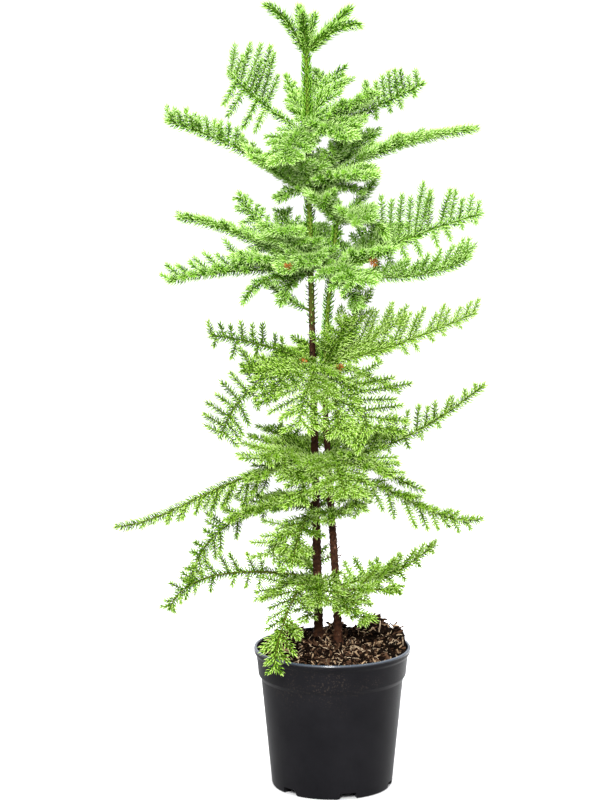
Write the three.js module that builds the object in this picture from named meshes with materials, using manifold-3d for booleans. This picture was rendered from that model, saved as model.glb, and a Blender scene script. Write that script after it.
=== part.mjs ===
// Potted Norfolk Island pine: two slender stems of one clump in a black nursery pot.
// Millimetres, +Z up, +X to the right and +Y away as the plant is seen from its front.
// The origin is the centre of the pot's flat underside.

import * as THREE from "three";
import * as BufferGeometryUtils from "three/addons/utils/BufferGeometryUtils.js";
import Module from "manifold-3d";

const wasm = await Module();
wasm.setup();

// Fits

const GAP = 0.3; // air between neighbouring pieces
const LIMB_JOINT = 0.36; // air between a bough's cut end and the foliage it carries
const SOIL_CLEARANCE = 0.9; // air between the soil's sides and the pot wall
const WELD = 1e-4; // corners closer than this are one corner
const UP = new THREE.Vector3(0, 0, 1);
const NEAR_UPRIGHT = 0.98; // above this share of UP a ring takes its bearings from +X
const radians = THREE.MathUtils.degToRad;
const lerp = THREE.MathUtils.lerp;

// Pot

const POT_HEIGHT = 190;
const LIP_RADIUS = 105; // outside of the rolled lip
const LIP_ROUND = 2.4; // round of the lip's outer edge
const LIP_DEPTH = 7; // height of the lip's outer face
const LIP_DRAFT = 0.7; // how much the lip's face draws in towards its foot
const LIP_UNDERCUT = 11; // below the rim, where the lip runs out into the collar
const MOUTH_RADIUS = 100.1; // inner edge of the lip
const MOUTH_DROP = 1.5; // below the rim
const COLLAR_TOP_RADIUS = 101.3;
const COLLAR_FOOT_RADIUS = 98.7;
const COLLAR_DROP = 37; // below the rim, where the collar ends
const COLLAR_STEP = 6; // height of the chamfer under the collar
const BODY_TOP_RADIUS = 95;
const BODY_FOOT_RADIUS = 80.5;
const FOOT_ROUND = 4.5; // round of the bottom edge
const POT_WALL = 2;
const POT_FLOOR = 11.5; // the floor stands over its drain notches
const POT_SIDES = 40;
const NOTCHES = 6;
const NOTCH_TURN = -45; // degrees from the front to the first notch
const NOTCH_FOOT = 26; // width at the ground
const NOTCH_HEAD = 21; // width at its top
const NOTCH_HEIGHT = 9;
const NOTCH_INNER_RADIUS = 54;
const CUT_OVERRUN = 1; // how far a cut starts outside the piece

// Potting soil

const SOIL_EDGE = 184; // height where the soil meets the pot wall
const SOIL_CROWN = 7; // rise of the soil in the middle
const SOIL_SHOULDER = 146; // height where the pot's inside widens into the collar
const SOIL_RINGS = 7;
const SOIL_SIDES = 26;
const SEAT_RADIUS = 11; // flat patch of soil under each stem
const SEAT_BLEND = 9; // run from the flat patch back to loose soil
const HEAPS = [
  { x: 57, y: 54, rise: 30, width: 24 },
  { x: 89, y: 20, rise: 25, width: 14 },
  { x: -58, y: 60, rise: 13, width: 20 },
  { x: 5, y: 82, rise: 9, width: 26 },
];

// Stems: foot on the soil, height to the tip tuft, lean over that height, sideways bow

const TALL = {
  name: "tall",
  foot: new THREE.Vector3(-18, 32, 196),
  height: 776,
  leanX: -17,
  leanY: -6,
  bow: 0,
  footRadius: 6.2,
  tipRadius: 2.6,
};
const SHORT = {
  name: "short",
  foot: new THREE.Vector3(8, 10, 191.5),
  height: 558,
  leanX: -3,
  leanY: 4,
  bow: 16,
  footRadius: 5.8,
  tipRadius: 2.4,
};
const BOW_SKEW = 1.5; // moves the widest part of a bow up the stem
const STEM_SIDES = 8;
const STEM_RINGS = 13;
const FLARE_RADIUS = 2.6; // how far the root flare stands out at the soil
const FLARE_HEIGHT = 14;
const FLARE_RINGS = 2;
const STUB_HEIGHT = 12; // growing tip that carries the young shoots
const STUB_RINGS = 2;
const STUB_NARROWING = 0.35; // share of its radius that the growing tip loses
const FIRST_SHOOT = 0.35; // shoots leave the growing tip between these shares of its height
const LAST_SHOOT = 0.75;

// Fronds: each has a rib with two rows of side twigs.
//   azimuth  degrees from +X towards +Y
//   reach, rise  run out from the stem and climb of the rib's tip
//   lift, finish  slope of the rib at the stem and at its tip, in degrees
//   spread  length of the longest side twigs
//   taper  how fast side twigs shorten towards the tip
//   roll, perk  turn of the frond about its rib and upturn of both rows, in degrees
//   lean  angle between rib and side twig
//   bare  share of the rib without side twigs
//   drop  offset of the frond's foot from its whorl
//   hang  share of its length that a twig keeps where it hangs straight down
//   bough  true where the bare part is a limb of its own

const HABIT = { taper: 0.6, roll: 0, perk: 10, lean: 66, bare: 0.15, drop: 0, hang: 0.4, bough: false };

const WHORLS = [
  {
    stem: TALL,
    tier: 2,
    height: 874,
    fronds: [
      { side: "left", azimuth: 160, reach: 107, rise: 75, lift: 28, finish: 42, spread: 60,
        taper: 0.35, roll: 85, perk: 5, lean: 88, bare: 0.45, hang: 0.7, bough: true },
      { side: "back_left", azimuth: 112, reach: 72, rise: 66, lift: 35, finish: 45, spread: 16, drop: 4 },
      { side: "back_right", azimuth: 72, reach: 85, rise: 66, lift: 48, finish: 34, spread: 50,
        taper: 0.3 },
      { side: "right", azimuth: 12, reach: 151, rise: 63, lift: 20, finish: 30, spread: 38,
        taper: 0.5, roll: 70, lean: 96, bare: 0.45 },
      { side: "front_right", azimuth: 322, reach: 99, rise: 54, lift: 34, finish: 28, spread: 36,
        taper: 0.5, lean: 52 },
      { side: "front", azimuth: 255, reach: 120, rise: -25, lift: 15, finish: -30, spread: 42,
        taper: 0.4, perk: 0 },
    ],
  },
  {
    stem: TALL,
    tier: 3,
    height: 799,
    fronds: [
      { side: "left", azimuth: 175, reach: 183, rise: 89, lift: 36, finish: 15, spread: 24,
        taper: 0.15, perk: 60, lean: 84, bare: 0.4, bough: true },
      { side: "right", azimuth: 5, reach: 218, rise: 79, lift: 38, finish: 6, spread: 38,
        taper: 0.8, perk: 20, lean: 48, bare: 0.25, bough: true },
      { side: "front_left", azimuth: 222, reach: 85, rise: 45, lift: 28, finish: 20, spread: 42,
        taper: 0.5, perk: 15 },
      { side: "front_right", azimuth: 310, reach: 110, rise: 25, lift: 25, finish: -5, spread: 44,
        taper: 0.4 },
      { side: "back_right", azimuth: 50, reach: 130, rise: 68, lift: 36, finish: 15, spread: 46,
        taper: 0.5 },
      { side: "back_left", azimuth: 125, reach: 105, rise: 34, lift: 28, finish: 5, spread: 44,
        taper: 0.5 },
    ],
  },
  {
    stem: TALL,
    tier: 4,
    height: 693,
    fronds: [
      { side: "left_upper", azimuth: 165, reach: 178, rise: 62, lift: 26, finish: 6, spread: 26,
        taper: 0.5, perk: 25, lean: 50, bare: 0.25, drop: 3 },
      { side: "left_lower", azimuth: 196, reach: 189, rise: -4, lift: 8, finish: -12, spread: 42,
        taper: 0.5, roll: 15, perk: 35, lean: 68, bare: 0.25, drop: -3 },
      { side: "back_left", azimuth: 135, reach: 133, rise: 92, lift: 18, finish: 52, spread: 44,
        taper: 0.8, roll: 20, perk: 0, lean: 62, bare: 0.2 },
      { side: "front_left", azimuth: 215, reach: 104, rise: -30, lift: 10, finish: -65, spread: 15,
        taper: 0.4, roll: 20, perk: 0, bare: 0.3, drop: -6 },
      { side: "front", azimuth: 246, reach: 95, rise: 58, lift: 40, finish: 15, spread: 52,
        taper: 0.4, perk: 0, drop: 6 },
      { side: "back", azimuth: 88, reach: 150, rise: 40, lift: 25, finish: 5, spread: 50 },
    ],
  },
  {
    stem: SHORT,
    tier: 4,
    height: 694,
    fronds: [
      { side: "right", azimuth: 10, reach: 197, rise: 68, lift: 22, finish: 14, spread: 78,
        taper: 0.75, roll: 75, lean: 78, bare: 0.2, drop: 3 },
      { side: "right_lower", azimuth: 345, reach: 182, rise: 28, lift: -6, finish: 34, spread: 27,
        taper: 0, roll: 20, perk: 55, lean: 62, bare: 0.2, drop: -3 },
      { side: "front", azimuth: 283, reach: 115, rise: 0, lift: 25, finish: -25, spread: 58,
        taper: 0.4, perk: 0 },
      { side: "back_right", azimuth: 52, reach: 150, rise: 45, lift: 25, finish: 10, spread: 50 },
    ],
  },
  {
    stem: TALL,
    tier: 5,
    height: 570,
    fronds: [
      { side: "left", azimuth: 170, reach: 133, rise: 32, lift: 24, finish: 6, spread: 23,
        taper: 0.2, roll: 80, lean: 88, bare: 0.2, hang: 1 },
      { side: "front_left", azimuth: 214, reach: 141, rise: -86, lift: 10, finish: -70, spread: 42,
        taper: 0.3, roll: 60, perk: 0, lean: 108, bare: 0.3, hang: 0.8 },
      { side: "back", azimuth: 100, reach: 150, rise: -15, lift: 10, finish: -10, spread: 52 },
    ],
  },
  {
    stem: SHORT,
    tier: 5,
    height: 571,
    fronds: [
      { side: "right", azimuth: 10, reach: 199, rise: 63, lift: 10, finish: 24, spread: 42,
        taper: 0.5, roll: 78, lean: 58, bare: 0.08, hang: 0.4 },
      { side: "front_right", azimuth: 300, reach: 110, rise: -75, lift: -10, finish: -55, spread: 76,
        taper: 0.35, roll: -35, lean: 70, bare: 0.32 },
      { side: "front", azimuth: 252, reach: 110, rise: -62, lift: 10, finish: -60, spread: 58,
        taper: 0.4, perk: 0 },
      { side: "back_right", azimuth: 58, reach: 150, rise: 0, lift: 12, finish: -8, spread: 52 },
    ],
  },
  {
    stem: TALL,
    tier: 6,
    height: 440,
    fronds: [
      { side: "left", azimuth: 190, reach: 262, rise: -60, lift: 26, finish: -2, spread: 60,
        taper: 1.5, perk: -35, lean: 55, bare: 0.2, drop: -24, hang: 1, bough: true },
      { side: "front_left", azimuth: 232, reach: 108, rise: 14, lift: 24, finish: -20, spread: 58,
        taper: 0.4, roll: 10, perk: 0 },
      { side: "back_left", azimuth: 130, reach: 92, rise: 26, lift: 15, finish: -10, spread: 40,
        taper: 0.5, perk: 5 },
    ],
  },
  {
    stem: SHORT,
    tier: 6,
    height: 448,
    fronds: [
      { side: "right", azimuth: 15, reach: 214, rise: 83, lift: -8, finish: 36, spread: 46,
        taper: 1, roll: 65, lean: 76, bare: 0.2, drop: 2, hang: 0.3 },
      { side: "right_lower", azimuth: 345, reach: 203, rise: -43, lift: 12, finish: 16, spread: 54,
        taper: 0.9, roll: 35, perk: -5, lean: 64, bare: 0.2, drop: -32, hang: 1, bough: true },
      { side: "front", azimuth: 280, reach: 120, rise: -30, lift: 18, finish: -35, spread: 60,
        taper: 0.4, perk: 0 },
      { side: "back", azimuth: 78, reach: 150, rise: 5, lift: 15, finish: -10, spread: 52 },
    ],
  },
  {
    stem: TALL,
    tier: 7,
    height: 372,
    fronds: [
      { side: "left", azimuth: 175, reach: 163, rise: -108, lift: 18, finish: -84, spread: 34,
        taper: 0.4, roll: 50, perk: 0, lean: 80, bare: 0.25, drop: 4, hang: 0.8, bough: true },
      { side: "front_left", azimuth: 225, reach: 90, rise: -30, lift: 10, finish: -30, spread: 50,
        taper: 0.4, roll: 10, perk: 0, drop: -20 },
      { side: "back_right", azimuth: 65, reach: 140, rise: -10, lift: 10, finish: -15, spread: 52 },
    ],
  },
  {
    stem: TALL,
    tier: 8,
    height: 276,
    fronds: [
      { side: "left", azimuth: 185, reach: 192, rise: -40, lift: 12, finish: -72, spread: 30,
        taper: 0.4, roll: 60, lean: 76, bare: 0.14, hang: 0.6, bough: true },
      { side: "front_left", azimuth: 247, reach: 140, rise: -92, lift: 20, finish: -82, spread: 54,
        taper: 0.6, perk: 0 },
      { side: "back", azimuth: 105, reach: 140, rise: 0, lift: 15, finish: -15, spread: 52 },
    ],
  },
  {
    stem: SHORT,
    tier: 8,
    height: 264,
    fronds: [
      { side: "right", azimuth: 15, reach: 133, rise: 55, lift: -4, finish: 36, spread: 54,
        taper: 0.8, roll: 45, perk: 0, lean: 62, bare: 0.1, hang: 0.6 },
      { side: "front_right", azimuth: 300, reach: 72, rise: -30, lift: 0, finish: -35, spread: 32,
        taper: 0.5, perk: 0 },
      { side: "back_right", azimuth: 48, reach: 120, rise: 10, lift: 10, finish: -5, spread: 48 },
    ],
  },
];

// Young shoots that crown each stem

const SHOOT_HABIT = { spread: 0, taper: 0.5, roll: 0, perk: 25, lean: 55, bare: 0.3, hang: 0.4 };

const TUFTS = [
  {
    stem: TALL,
    shoots: [
      { azimuth: 190, reach: 54, rise: 64, lift: 62, finish: 20 },
      { azimuth: 110, reach: 26, rise: 60, lift: 70, finish: 75 },
      { azimuth: 20, reach: 62, rise: 58, lift: 45, finish: 45 },
      { azimuth: 340, reach: 74, rise: 35, lift: 42, finish: -20 },
      { azimuth: 70, reach: 34, rise: 46, lift: 60, finish: 40 },
      { azimuth: 260, reach: 30, rise: 50, lift: 60, finish: 40 },
    ],
  },
  {
    stem: SHORT,
    shoots: [
      { azimuth: 20, reach: 55, rise: 62, lift: 40, finish: 55 },
      { azimuth: 352, reach: 66, rise: -18, lift: 62, finish: -78 },
      { azimuth: 240, reach: 52, rise: 34, lift: 40, finish: 20, spread: 36 },
      { azimuth: 292, reach: 74, rise: 8, lift: 30, finish: -20, spread: 44 },
      { azimuth: 120, reach: 60, rise: 44, lift: 40, finish: 30, spread: 32 },
    ],
  },
];

// Growth rule

const FIRST_SEED = 100;
const TWIG_SPACING = 38; // along the rib, between twigs of one row
const HAND_STAGGER = 0.25; // the two rows alternate
const PLACE_JITTER = 0.3; // shift along the rib, as a share of the spacing
const LEAN_EASE = 16; // degrees a twig closes towards the rib at the tip
const LEAN_JITTER = 14; // degrees
const TILT_JITTER = 22; // degrees
const LEAST_VIGOUR = 0.78; // lengths vary by this factor and up
const VIGOUR_RANGE = 0.44;
const FIRST_TWIG = 0.6; // length of a frond's first side twigs against its longest
const FULL_TWIG_AT = 0.25; // share of the needled rib where side twigs are longest
const TIP_LOSS = 0.9; // share of their length lost by the tip, before the taper is applied
const TWIG_WEIGHT = 1.2; // how strongly a twig on the lower side hangs
const FORWARD_CURL = 0.08; // share of its length that a twig's tip bends on along the rib
const UPRIGHT_CURL = 0.15; // and up, or down where it hangs
const LAST_TWIG = 0.985; // share of the rib past which no twig roots

// Twigs and needles of the solid foliage

const RIB_STEP = 30; // between rings along a rib
const SHOOT_STEP = 25; // between rings along a young shoot
const LEAST_RINGS = 3;
const RIB_FOOT_RADIUS = 1.1; // of the shortest ribs
const RIB_STOUTENING = 1 / 220; // gain in that radius with the rib's reach
const RIB_TIP_RADIUS = 0.8;
const TWIG_ROOT_RADIUS = 0.7;
const TWIG_NECK = 0.22; // share of a twig before its needles begin
const TWIG_RADIUS = 1.8;
const TWIG_SIDES = 3;
const LONG_TWIG = 26; // a longer twig carries one more ring of needles
const NEEDLE_OUT = 8; // how far a needle stands off its twig
const NEEDLE_ON = 6; // how far it points forward
const LEAST_NEEDLE = 0.45; // size of the needles on the slightest twigs
const NEEDLE_GAIN = 0.02; // gain in that size with each millimetre of twig
const BOUGH_SIDES = 6;
const BOUGH_STEP = 14;
const BRUSH_BELOW = 20; // a rib carries needles of its own where its side twigs are shorter than this
const LEAST_TWIG = 12; // shorter side twigs are lost in those needles

// Materials

const POT_PLASTIC = { color: 0x28282a, roughness: 0.5, metalness: 0 };
const SOIL = { color: 0x3a2a1e, roughness: 0.95, metalness: 0 };
const BARK = { color: 0x4a3222, roughness: 0.85, metalness: 0 };
const GREEN_BARK = { color: 0x6b7a34, roughness: 0.8, metalness: 0 };
const NEEDLES = { color: 0x86c24e, roughness: 0.6, metalness: 0 };

// Random numbers that are the same on every run

function seededStream(seed) {
  let state = seed >>> 0;
  return () => {
    state = (state + 0x6d2b79f5) >>> 0;
    let t = Math.imul(state ^ (state >>> 15), 1 | state);
    t = (t + Math.imul(t ^ (t >>> 7), 61 | t)) ^ t;
    return ((t ^ (t >>> 14)) >>> 0) / 4294967296;
  };
}

// Solids from geometry, and back

function welded(geometry) {
  const bare = geometry.clone();
  bare.deleteAttribute("normal");
  bare.deleteAttribute("uv");
  const merged = BufferGeometryUtils.mergeVertices(bare, WELD);
  const kept = [];
  const index = merged.index.array;
  for (let i = 0; i < index.length; i += 3) {
    const [a, b, c] = [index[i], index[i + 1], index[i + 2]];
    if (a !== b && b !== c && c !== a) {
      kept.push(a, b, c);
    }
  }
  merged.setIndex(kept);
  return merged;
}

function solidOf(geometry) {
  const clean = welded(geometry);
  return new wasm.Manifold(
    new wasm.Mesh({
      numProp: 3,
      vertProperties: new Float32Array(clean.attributes.position.array),
      triVerts: new Uint32Array(clean.index.array),
    }),
  );
}

function geometryOf(solid) {
  const mesh = solid.getMesh();
  const geometry = new THREE.BufferGeometry();
  geometry.setAttribute("position", new THREE.BufferAttribute(new Float32Array(mesh.vertProperties), 3));
  geometry.setIndex(new THREE.BufferAttribute(new Uint32Array(mesh.triVerts), 1));
  geometry.computeVertexNormals();
  return geometry;
}

function shapeFrom(points, faces) {
  const geometry = new THREE.BufferGeometry();
  geometry.setAttribute("position", new THREE.Float32BufferAttribute(points.flatMap((p) => p.toArray()), 3));
  geometry.setIndex(faces.flat());
  return geometry;
}

// Largest body of a join: sealed hollows are filled and loose scraps dropped
function oneBody(solid) {
  return solid.decompose().reduce((best, body) => (body.volume() > best.volume() ? body : best));
}

const plant = new THREE.Group();
const placed = [];

function boxOf(solid) {
  const { min, max } = solid.boundingBox();
  return new THREE.Box3(new THREE.Vector3(...min), new THREE.Vector3(...max));
}

function place(owner, solid) {
  placed.push({ owner, solid, box: boxOf(solid) });
}

function standsClear(owner, solid) {
  const reach = boxOf(solid).expandByScalar(2 * GAP);
  return placed.every((other) => {
    if (other.owner === owner || !other.box.intersectsBox(reach)) {
      return true;
    }
    return other.solid.minGap(solid, 2 * GAP) > GAP;
  });
}

function addNode(name, solid, finish) {
  const mesh = new THREE.Mesh(geometryOf(solid), new THREE.MeshStandardMaterial(finish));
  mesh.name = name;
  plant.add(mesh);
}

// Limbs: rings of points swept along a line, capped flat

function ringAcross(centre, heading, radius, sides, turn) {
  const reference = Math.abs(heading.z) > NEAR_UPRIGHT ? new THREE.Vector3(1, 0, 0) : UP;
  const left = new THREE.Vector3().crossVectors(reference, heading).normalize();
  const top = new THREE.Vector3().crossVectors(heading, left);
  return Array.from({ length: sides }, (_, k) => {
    const angle = turn + (2 * Math.PI * k) / sides;
    return centre
      .clone()
      .addScaledVector(left, radius * Math.cos(angle))
      .addScaledVector(top, radius * Math.sin(angle));
  });
}

function lofted(rings) {
  const sides = rings[0].length;
  const points = rings.flat();
  const faces = [];
  for (let i = 0; i + 1 < rings.length; i += 1) {
    for (let k = 0; k < sides; k += 1) {
      const next = (k + 1) % sides;
      const [a, b] = [i * sides + k, i * sides + next];
      faces.push([a, b, b + sides], [a, b + sides, a + sides]);
    }
  }
  const last = (rings.length - 1) * sides;
  for (let k = 1; k + 1 < sides; k += 1) {
    faces.push([0, k + 1, k], [last, last + k, last + k + 1]);
  }
  return solidOf(shapeFrom(points, faces));
}

// A twig: a three-sided core with a plain neck, closed to a point. Past the neck its rings turn by half
// a side, and a needle is raised out of each face whose ring isNeedled picks.
function needledTwig(line, neck, radii, isNeedled, needleScale) {
  const ringCount = radii.length;
  const stations = radii.map((_, i) => (i > 0 ? neck + ((1 - neck) * (i - 1)) / (ringCount - 1) : 0));
  const headings = stations.map((t) => line.getTangent(t).normalize());
  const points = [];
  stations.forEach((t, i) => {
    const turn = (Math.max(i - 1, 0) * Math.PI) / TWIG_SIDES;
    points.push(...ringAcross(line.getPoint(t), headings[i], radii[i], TWIG_SIDES, turn));
  });
  const tip = points.push(line.getPoint(1)) - 1;
  const faces = [[0, 2, 1]];
  const addFace = (a, b, c, station) => {
    if (!isNeedled(station)) {
      faces.push([a, b, c]);
      return;
    }
    const face = new THREE.Triangle(points[a], points[b], points[c]);
    const needle = face
      .getMidpoint(new THREE.Vector3())
      .addScaledVector(face.getNormal(new THREE.Vector3()), NEEDLE_OUT * needleScale)
      .addScaledVector(headings[station], NEEDLE_ON * needleScale);
    const apex = points.push(needle) - 1;
    faces.push([a, b, apex], [b, c, apex], [c, a, apex]);
  };
  for (let i = 0; i < ringCount; i += 1) {
    for (let k = 0; k < TWIG_SIDES; k += 1) {
      const [a, b] = [i * TWIG_SIDES + k, i * TWIG_SIDES + ((k + 1) % TWIG_SIDES)];
      if (i + 1 === ringCount) {
        addFace(a, b, tip, i);
      } else {
        addFace(a, b, a + TWIG_SIDES, i);
        addFace(b, b + TWIG_SIDES, a + TWIG_SIDES, i);
      }
    }
  }
  return solidOf(shapeFrom(points, faces));
}

const PAST_NECK = (station) => station > 0;

// Stems

const stemShare = (stem, height) => (height - stem.foot.z) / stem.height;

function stemPoint(stem, height) {
  const share = stemShare(stem, height);
  const bow = stem.bow * Math.sin(Math.PI * Math.max(share, 0) ** BOW_SKEW);
  return new THREE.Vector3(stem.foot.x + stem.leanX * share - bow, stem.foot.y + stem.leanY * share, height);
}

const stemRadius = (stem, height) => lerp(stem.footRadius, stem.tipRadius, stemShare(stem, height));

function makeStem(stem) {
  const rises = [];
  for (let i = 0; i < FLARE_RINGS; i += 1) {
    rises.push((FLARE_HEIGHT * i) / FLARE_RINGS);
  }
  for (let i = 0; i <= STEM_RINGS; i += 1) {
    rises.push(lerp(FLARE_HEIGHT, stem.height, i / STEM_RINGS));
  }
  const rings = rises.map((rise) => {
    const height = stem.foot.z + rise;
    const flare = FLARE_RADIUS * Math.max(0, 1 - rise / FLARE_HEIGHT) ** 2;
    return ringAcross(stemPoint(stem, height), UP, stemRadius(stem, height) + flare, STEM_SIDES, 0);
  });
  return lofted(rings);
}

// Fronds

function ribLine(root, azimuth, frond) {
  const out = new THREE.Vector3(Math.cos(azimuth), Math.sin(azimuth), 0);
  const sloped = (degrees) => {
    const angle = radians(degrees);
    return out.clone().multiplyScalar(Math.cos(angle)).addScaledVector(UP, Math.sin(angle));
  };
  const tip = root.clone().addScaledVector(out, frond.reach).addScaledVector(UP, frond.rise);
  const handle = Math.hypot(frond.reach, frond.rise) / 3;
  return new THREE.CubicBezierCurve3(
    root,
    root.clone().addScaledVector(sloped(frond.lift), handle),
    tip.clone().addScaledVector(sloped(frond.finish), -handle),
    tip,
  );
}

// Share of the needled rib that lies before a position on the whole rib
const needledShare = (frond, position) => (position - frond.bare) / (1 - frond.bare);

// Length of the side twigs at that share, before each one's own vigour
function twigReach(frond, share) {
  const swelling = Math.min(1, lerp(FIRST_TWIG, 1, share / FULL_TWIG_AT));
  return frond.spread * swelling * (1 - TIP_LOSS * share) ** frond.taper;
}

// Side twigs of a rib: a root on the rib, a middle and a tip for each
function sideTwigs(rib, frond, spacing, seed) {
  const draw = seededStream(seed);
  const count = Math.max(2, Math.floor((rib.getLength() * (1 - frond.bare)) / spacing));
  const twigs = [];
  for (let k = 0; k < count; k += 1) {
    for (const hand of [-1, 1]) {
      const along = (k + 0.5 + HAND_STAGGER * hand + PLACE_JITTER * (draw() - 0.5)) / count;
      const station = Math.min(frond.bare + (1 - frond.bare) * along, LAST_TWIG);
      const root = rib.getPoint(station);
      const heading = rib.getTangent(station).normalize();
      const side = new THREE.Vector3().crossVectors(heading, UP).normalize();
      const top = new THREE.Vector3().crossVectors(side, heading);
      const roll = radians(frond.roll);
      const lean = radians(frond.lean - LEAN_EASE * station + LEAN_JITTER * (draw() - 0.5));
      const tilt = radians(frond.perk + TILT_JITTER * (draw() - 0.5));
      const row = side.clone().multiplyScalar(Math.cos(roll)).addScaledVector(top, Math.sin(roll));
      const face = top.clone().multiplyScalar(Math.cos(roll)).addScaledVector(side, -Math.sin(roll));
      const across = row.multiplyScalar(hand * Math.cos(tilt)).addScaledVector(face, Math.sin(tilt));
      const aim = heading.clone().multiplyScalar(Math.cos(lean)).addScaledVector(across, Math.sin(lean));
      const hanging = Math.max(0, -across.z);
      aim.addScaledVector(UP, -TWIG_WEIGHT * hanging).normalize();
      const vigour = LEAST_VIGOUR + VIGOUR_RANGE * draw();
      const kept = 1 - (1 - frond.hang) * hanging;
      const length = twigReach(frond, needledShare(frond, station)) * vigour * kept;
      const middle = root.clone().addScaledVector(aim, length / 2);
      const tip = root
        .clone()
        .addScaledVector(aim, length)
        .addScaledVector(heading, FORWARD_CURL * length)
        .addScaledVector(UP, UPRIGHT_CURL * length * across.z);
      twigs.push({ root, middle, tip, length });
    }
  }
  return twigs;
}

function twigSolid({ root, middle, tip, length }) {
  const line = new THREE.QuadraticBezierCurve3(root, middle, tip);
  const radii = [TWIG_ROOT_RADIUS, TWIG_RADIUS];
  if (length > LONG_TWIG) {
    radii.push(TWIG_RADIUS);
  }
  const scale = Math.min(1, LEAST_NEEDLE + NEEDLE_GAIN * length);
  return needledTwig(line, TWIG_NECK, radii, PAST_NECK, scale);
}

// Part of a rib from a start share to its tip, as a line of its own
class RibPart extends THREE.Curve {
  constructor(rib, from, to) {
    super();
    Object.assign(this, { rib, from, to });
  }

  getPoint(t, target = new THREE.Vector3()) {
    return target.copy(this.rib.getPoint(this.from + (this.to - this.from) * t));
  }

  getTangent(t, target = new THREE.Vector3()) {
    return target.copy(this.rib.getTangent(this.from + (this.to - this.from) * t));
  }
}

const ribRadius = (frond) => RIB_FOOT_RADIUS + RIB_STOUTENING * frond.reach;

function makeFrond(stem, tier, height, habit, seed) {
  const frond = { ...HABIT, ...habit };
  const name = `${stem.name}_tier${tier}_${frond.side}`;
  const azimuth = radians(frond.azimuth);
  const thickness = ribRadius(frond);
  const foot = stemPoint(stem, height + frond.drop);
  const slope = Math.abs(Math.sin(radians(frond.lift)));
  const standOff = stemRadius(stem, foot.z) + GAP + thickness * slope;
  const root = foot.add(new THREE.Vector3(Math.cos(azimuth), Math.sin(azimuth), 0).multiplyScalar(standOff));
  const rib = ribLine(root, azimuth, frond);
  const length = rib.getLength();
  const radiusAt = (t) => lerp(thickness, RIB_TIP_RADIUS, t);
  const start = frond.bough ? frond.bare : 0;
  const owner = `${name}_foliage`;
  const parts = { name, owner, frond, rib, seed, solids: [] };
  if (frond.bough) {
    const limb = new RibPart(rib, 0, start - LIMB_JOINT / length);
    const steps = Math.ceil((length * start) / BOUGH_STEP);
    const rings = Array.from({ length: steps + 1 }, (_, i) => {
      const t = i / steps;
      const heading = limb.getTangent(t).normalize();
      return ringAcross(limb.getPoint(t), heading, radiusAt(start * t), BOUGH_SIDES, 0);
    });
    parts.bough = lofted(rings);
    place(`${name}_bough`, parts.bough);
  }
  const line = new RibPart(rib, start, 1);
  const rings = Math.max(LEAST_RINGS, Math.round((length * (1 - start)) / RIB_STEP));
  const positionOf = (station) => lerp(start, 1, station / rings);
  const needled = (station) => {
    const share = needledShare(frond, positionOf(station));
    return station + 1 === rings || (share > 0 && twigReach(frond, share) < BRUSH_BELOW);
  };
  const radii = Array.from({ length: rings }, (_, i) => radiusAt(positionOf(i)));
  const core = needledTwig(line, 1 / rings, radii, needled, 1);
  place(owner, core);
  parts.solids.push(core);
  return parts;
}

function growTwigs(parts) {
  sideTwigs(parts.rib, parts.frond, TWIG_SPACING, parts.seed).forEach((twig) => {
    const solid = twigSolid(twig);
    if (twig.length > LEAST_TWIG && standsClear(parts.owner, solid)) {
      place(parts.owner, solid);
      parts.solids.push(solid);
    }
  });
}

function makeTuft({ stem, shoots }, seed) {
  const base = stem.foot.z + stem.height + GAP;
  const owner = `${stem.name}_tip_foliage`;
  const stub = lofted(
    Array.from({ length: STUB_RINGS + 1 }, (_, i) => {
      const share = i / STUB_RINGS;
      const radius = stem.tipRadius * (1 - STUB_NARROWING * share);
      return ringAcross(stemPoint(stem, base + STUB_HEIGHT * share), UP, radius, BOUGH_SIDES, 0);
    }),
  );
  const solids = [stub];
  place(owner, stub);
  shoots.forEach((habit, i) => {
    const frond = { ...SHOOT_HABIT, ...habit };
    const share = lerp(FIRST_SHOOT, LAST_SHOOT, i / (shoots.length - 1));
    const root = stemPoint(stem, base + STUB_HEIGHT * share);
    const rib = ribLine(root, radians(frond.azimuth), frond);
    const rings = Math.max(LEAST_RINGS, Math.round(rib.getLength() / SHOOT_STEP));
    const radii = Array.from({ length: rings }, () => TWIG_RADIUS);
    solids.push(needledTwig(rib, 1 / rings, radii, PAST_NECK, 1));
    if (!frond.spread) {
      return;
    }
    sideTwigs(rib, frond, TWIG_SPACING, seed + i).forEach((twig) => {
      const solid = twigSolid(twig);
      if (standsClear(owner, solid)) {
        solids.push(solid);
      }
    });
  });
  solids.slice(1).forEach((solid) => place(owner, solid));
  return { owner, solids };
}

// Pot

const collarFoot = POT_HEIGHT - COLLAR_DROP;

// Quarter of a circle in three points, from an angle in degrees onwards
function quarterRound(radius, height, size, from) {
  return [0, 45, 90].map((turn) => {
    const angle = radians(from + turn);
    return [radius + size * Math.cos(angle), height + size * Math.sin(angle)];
  });
}

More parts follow.
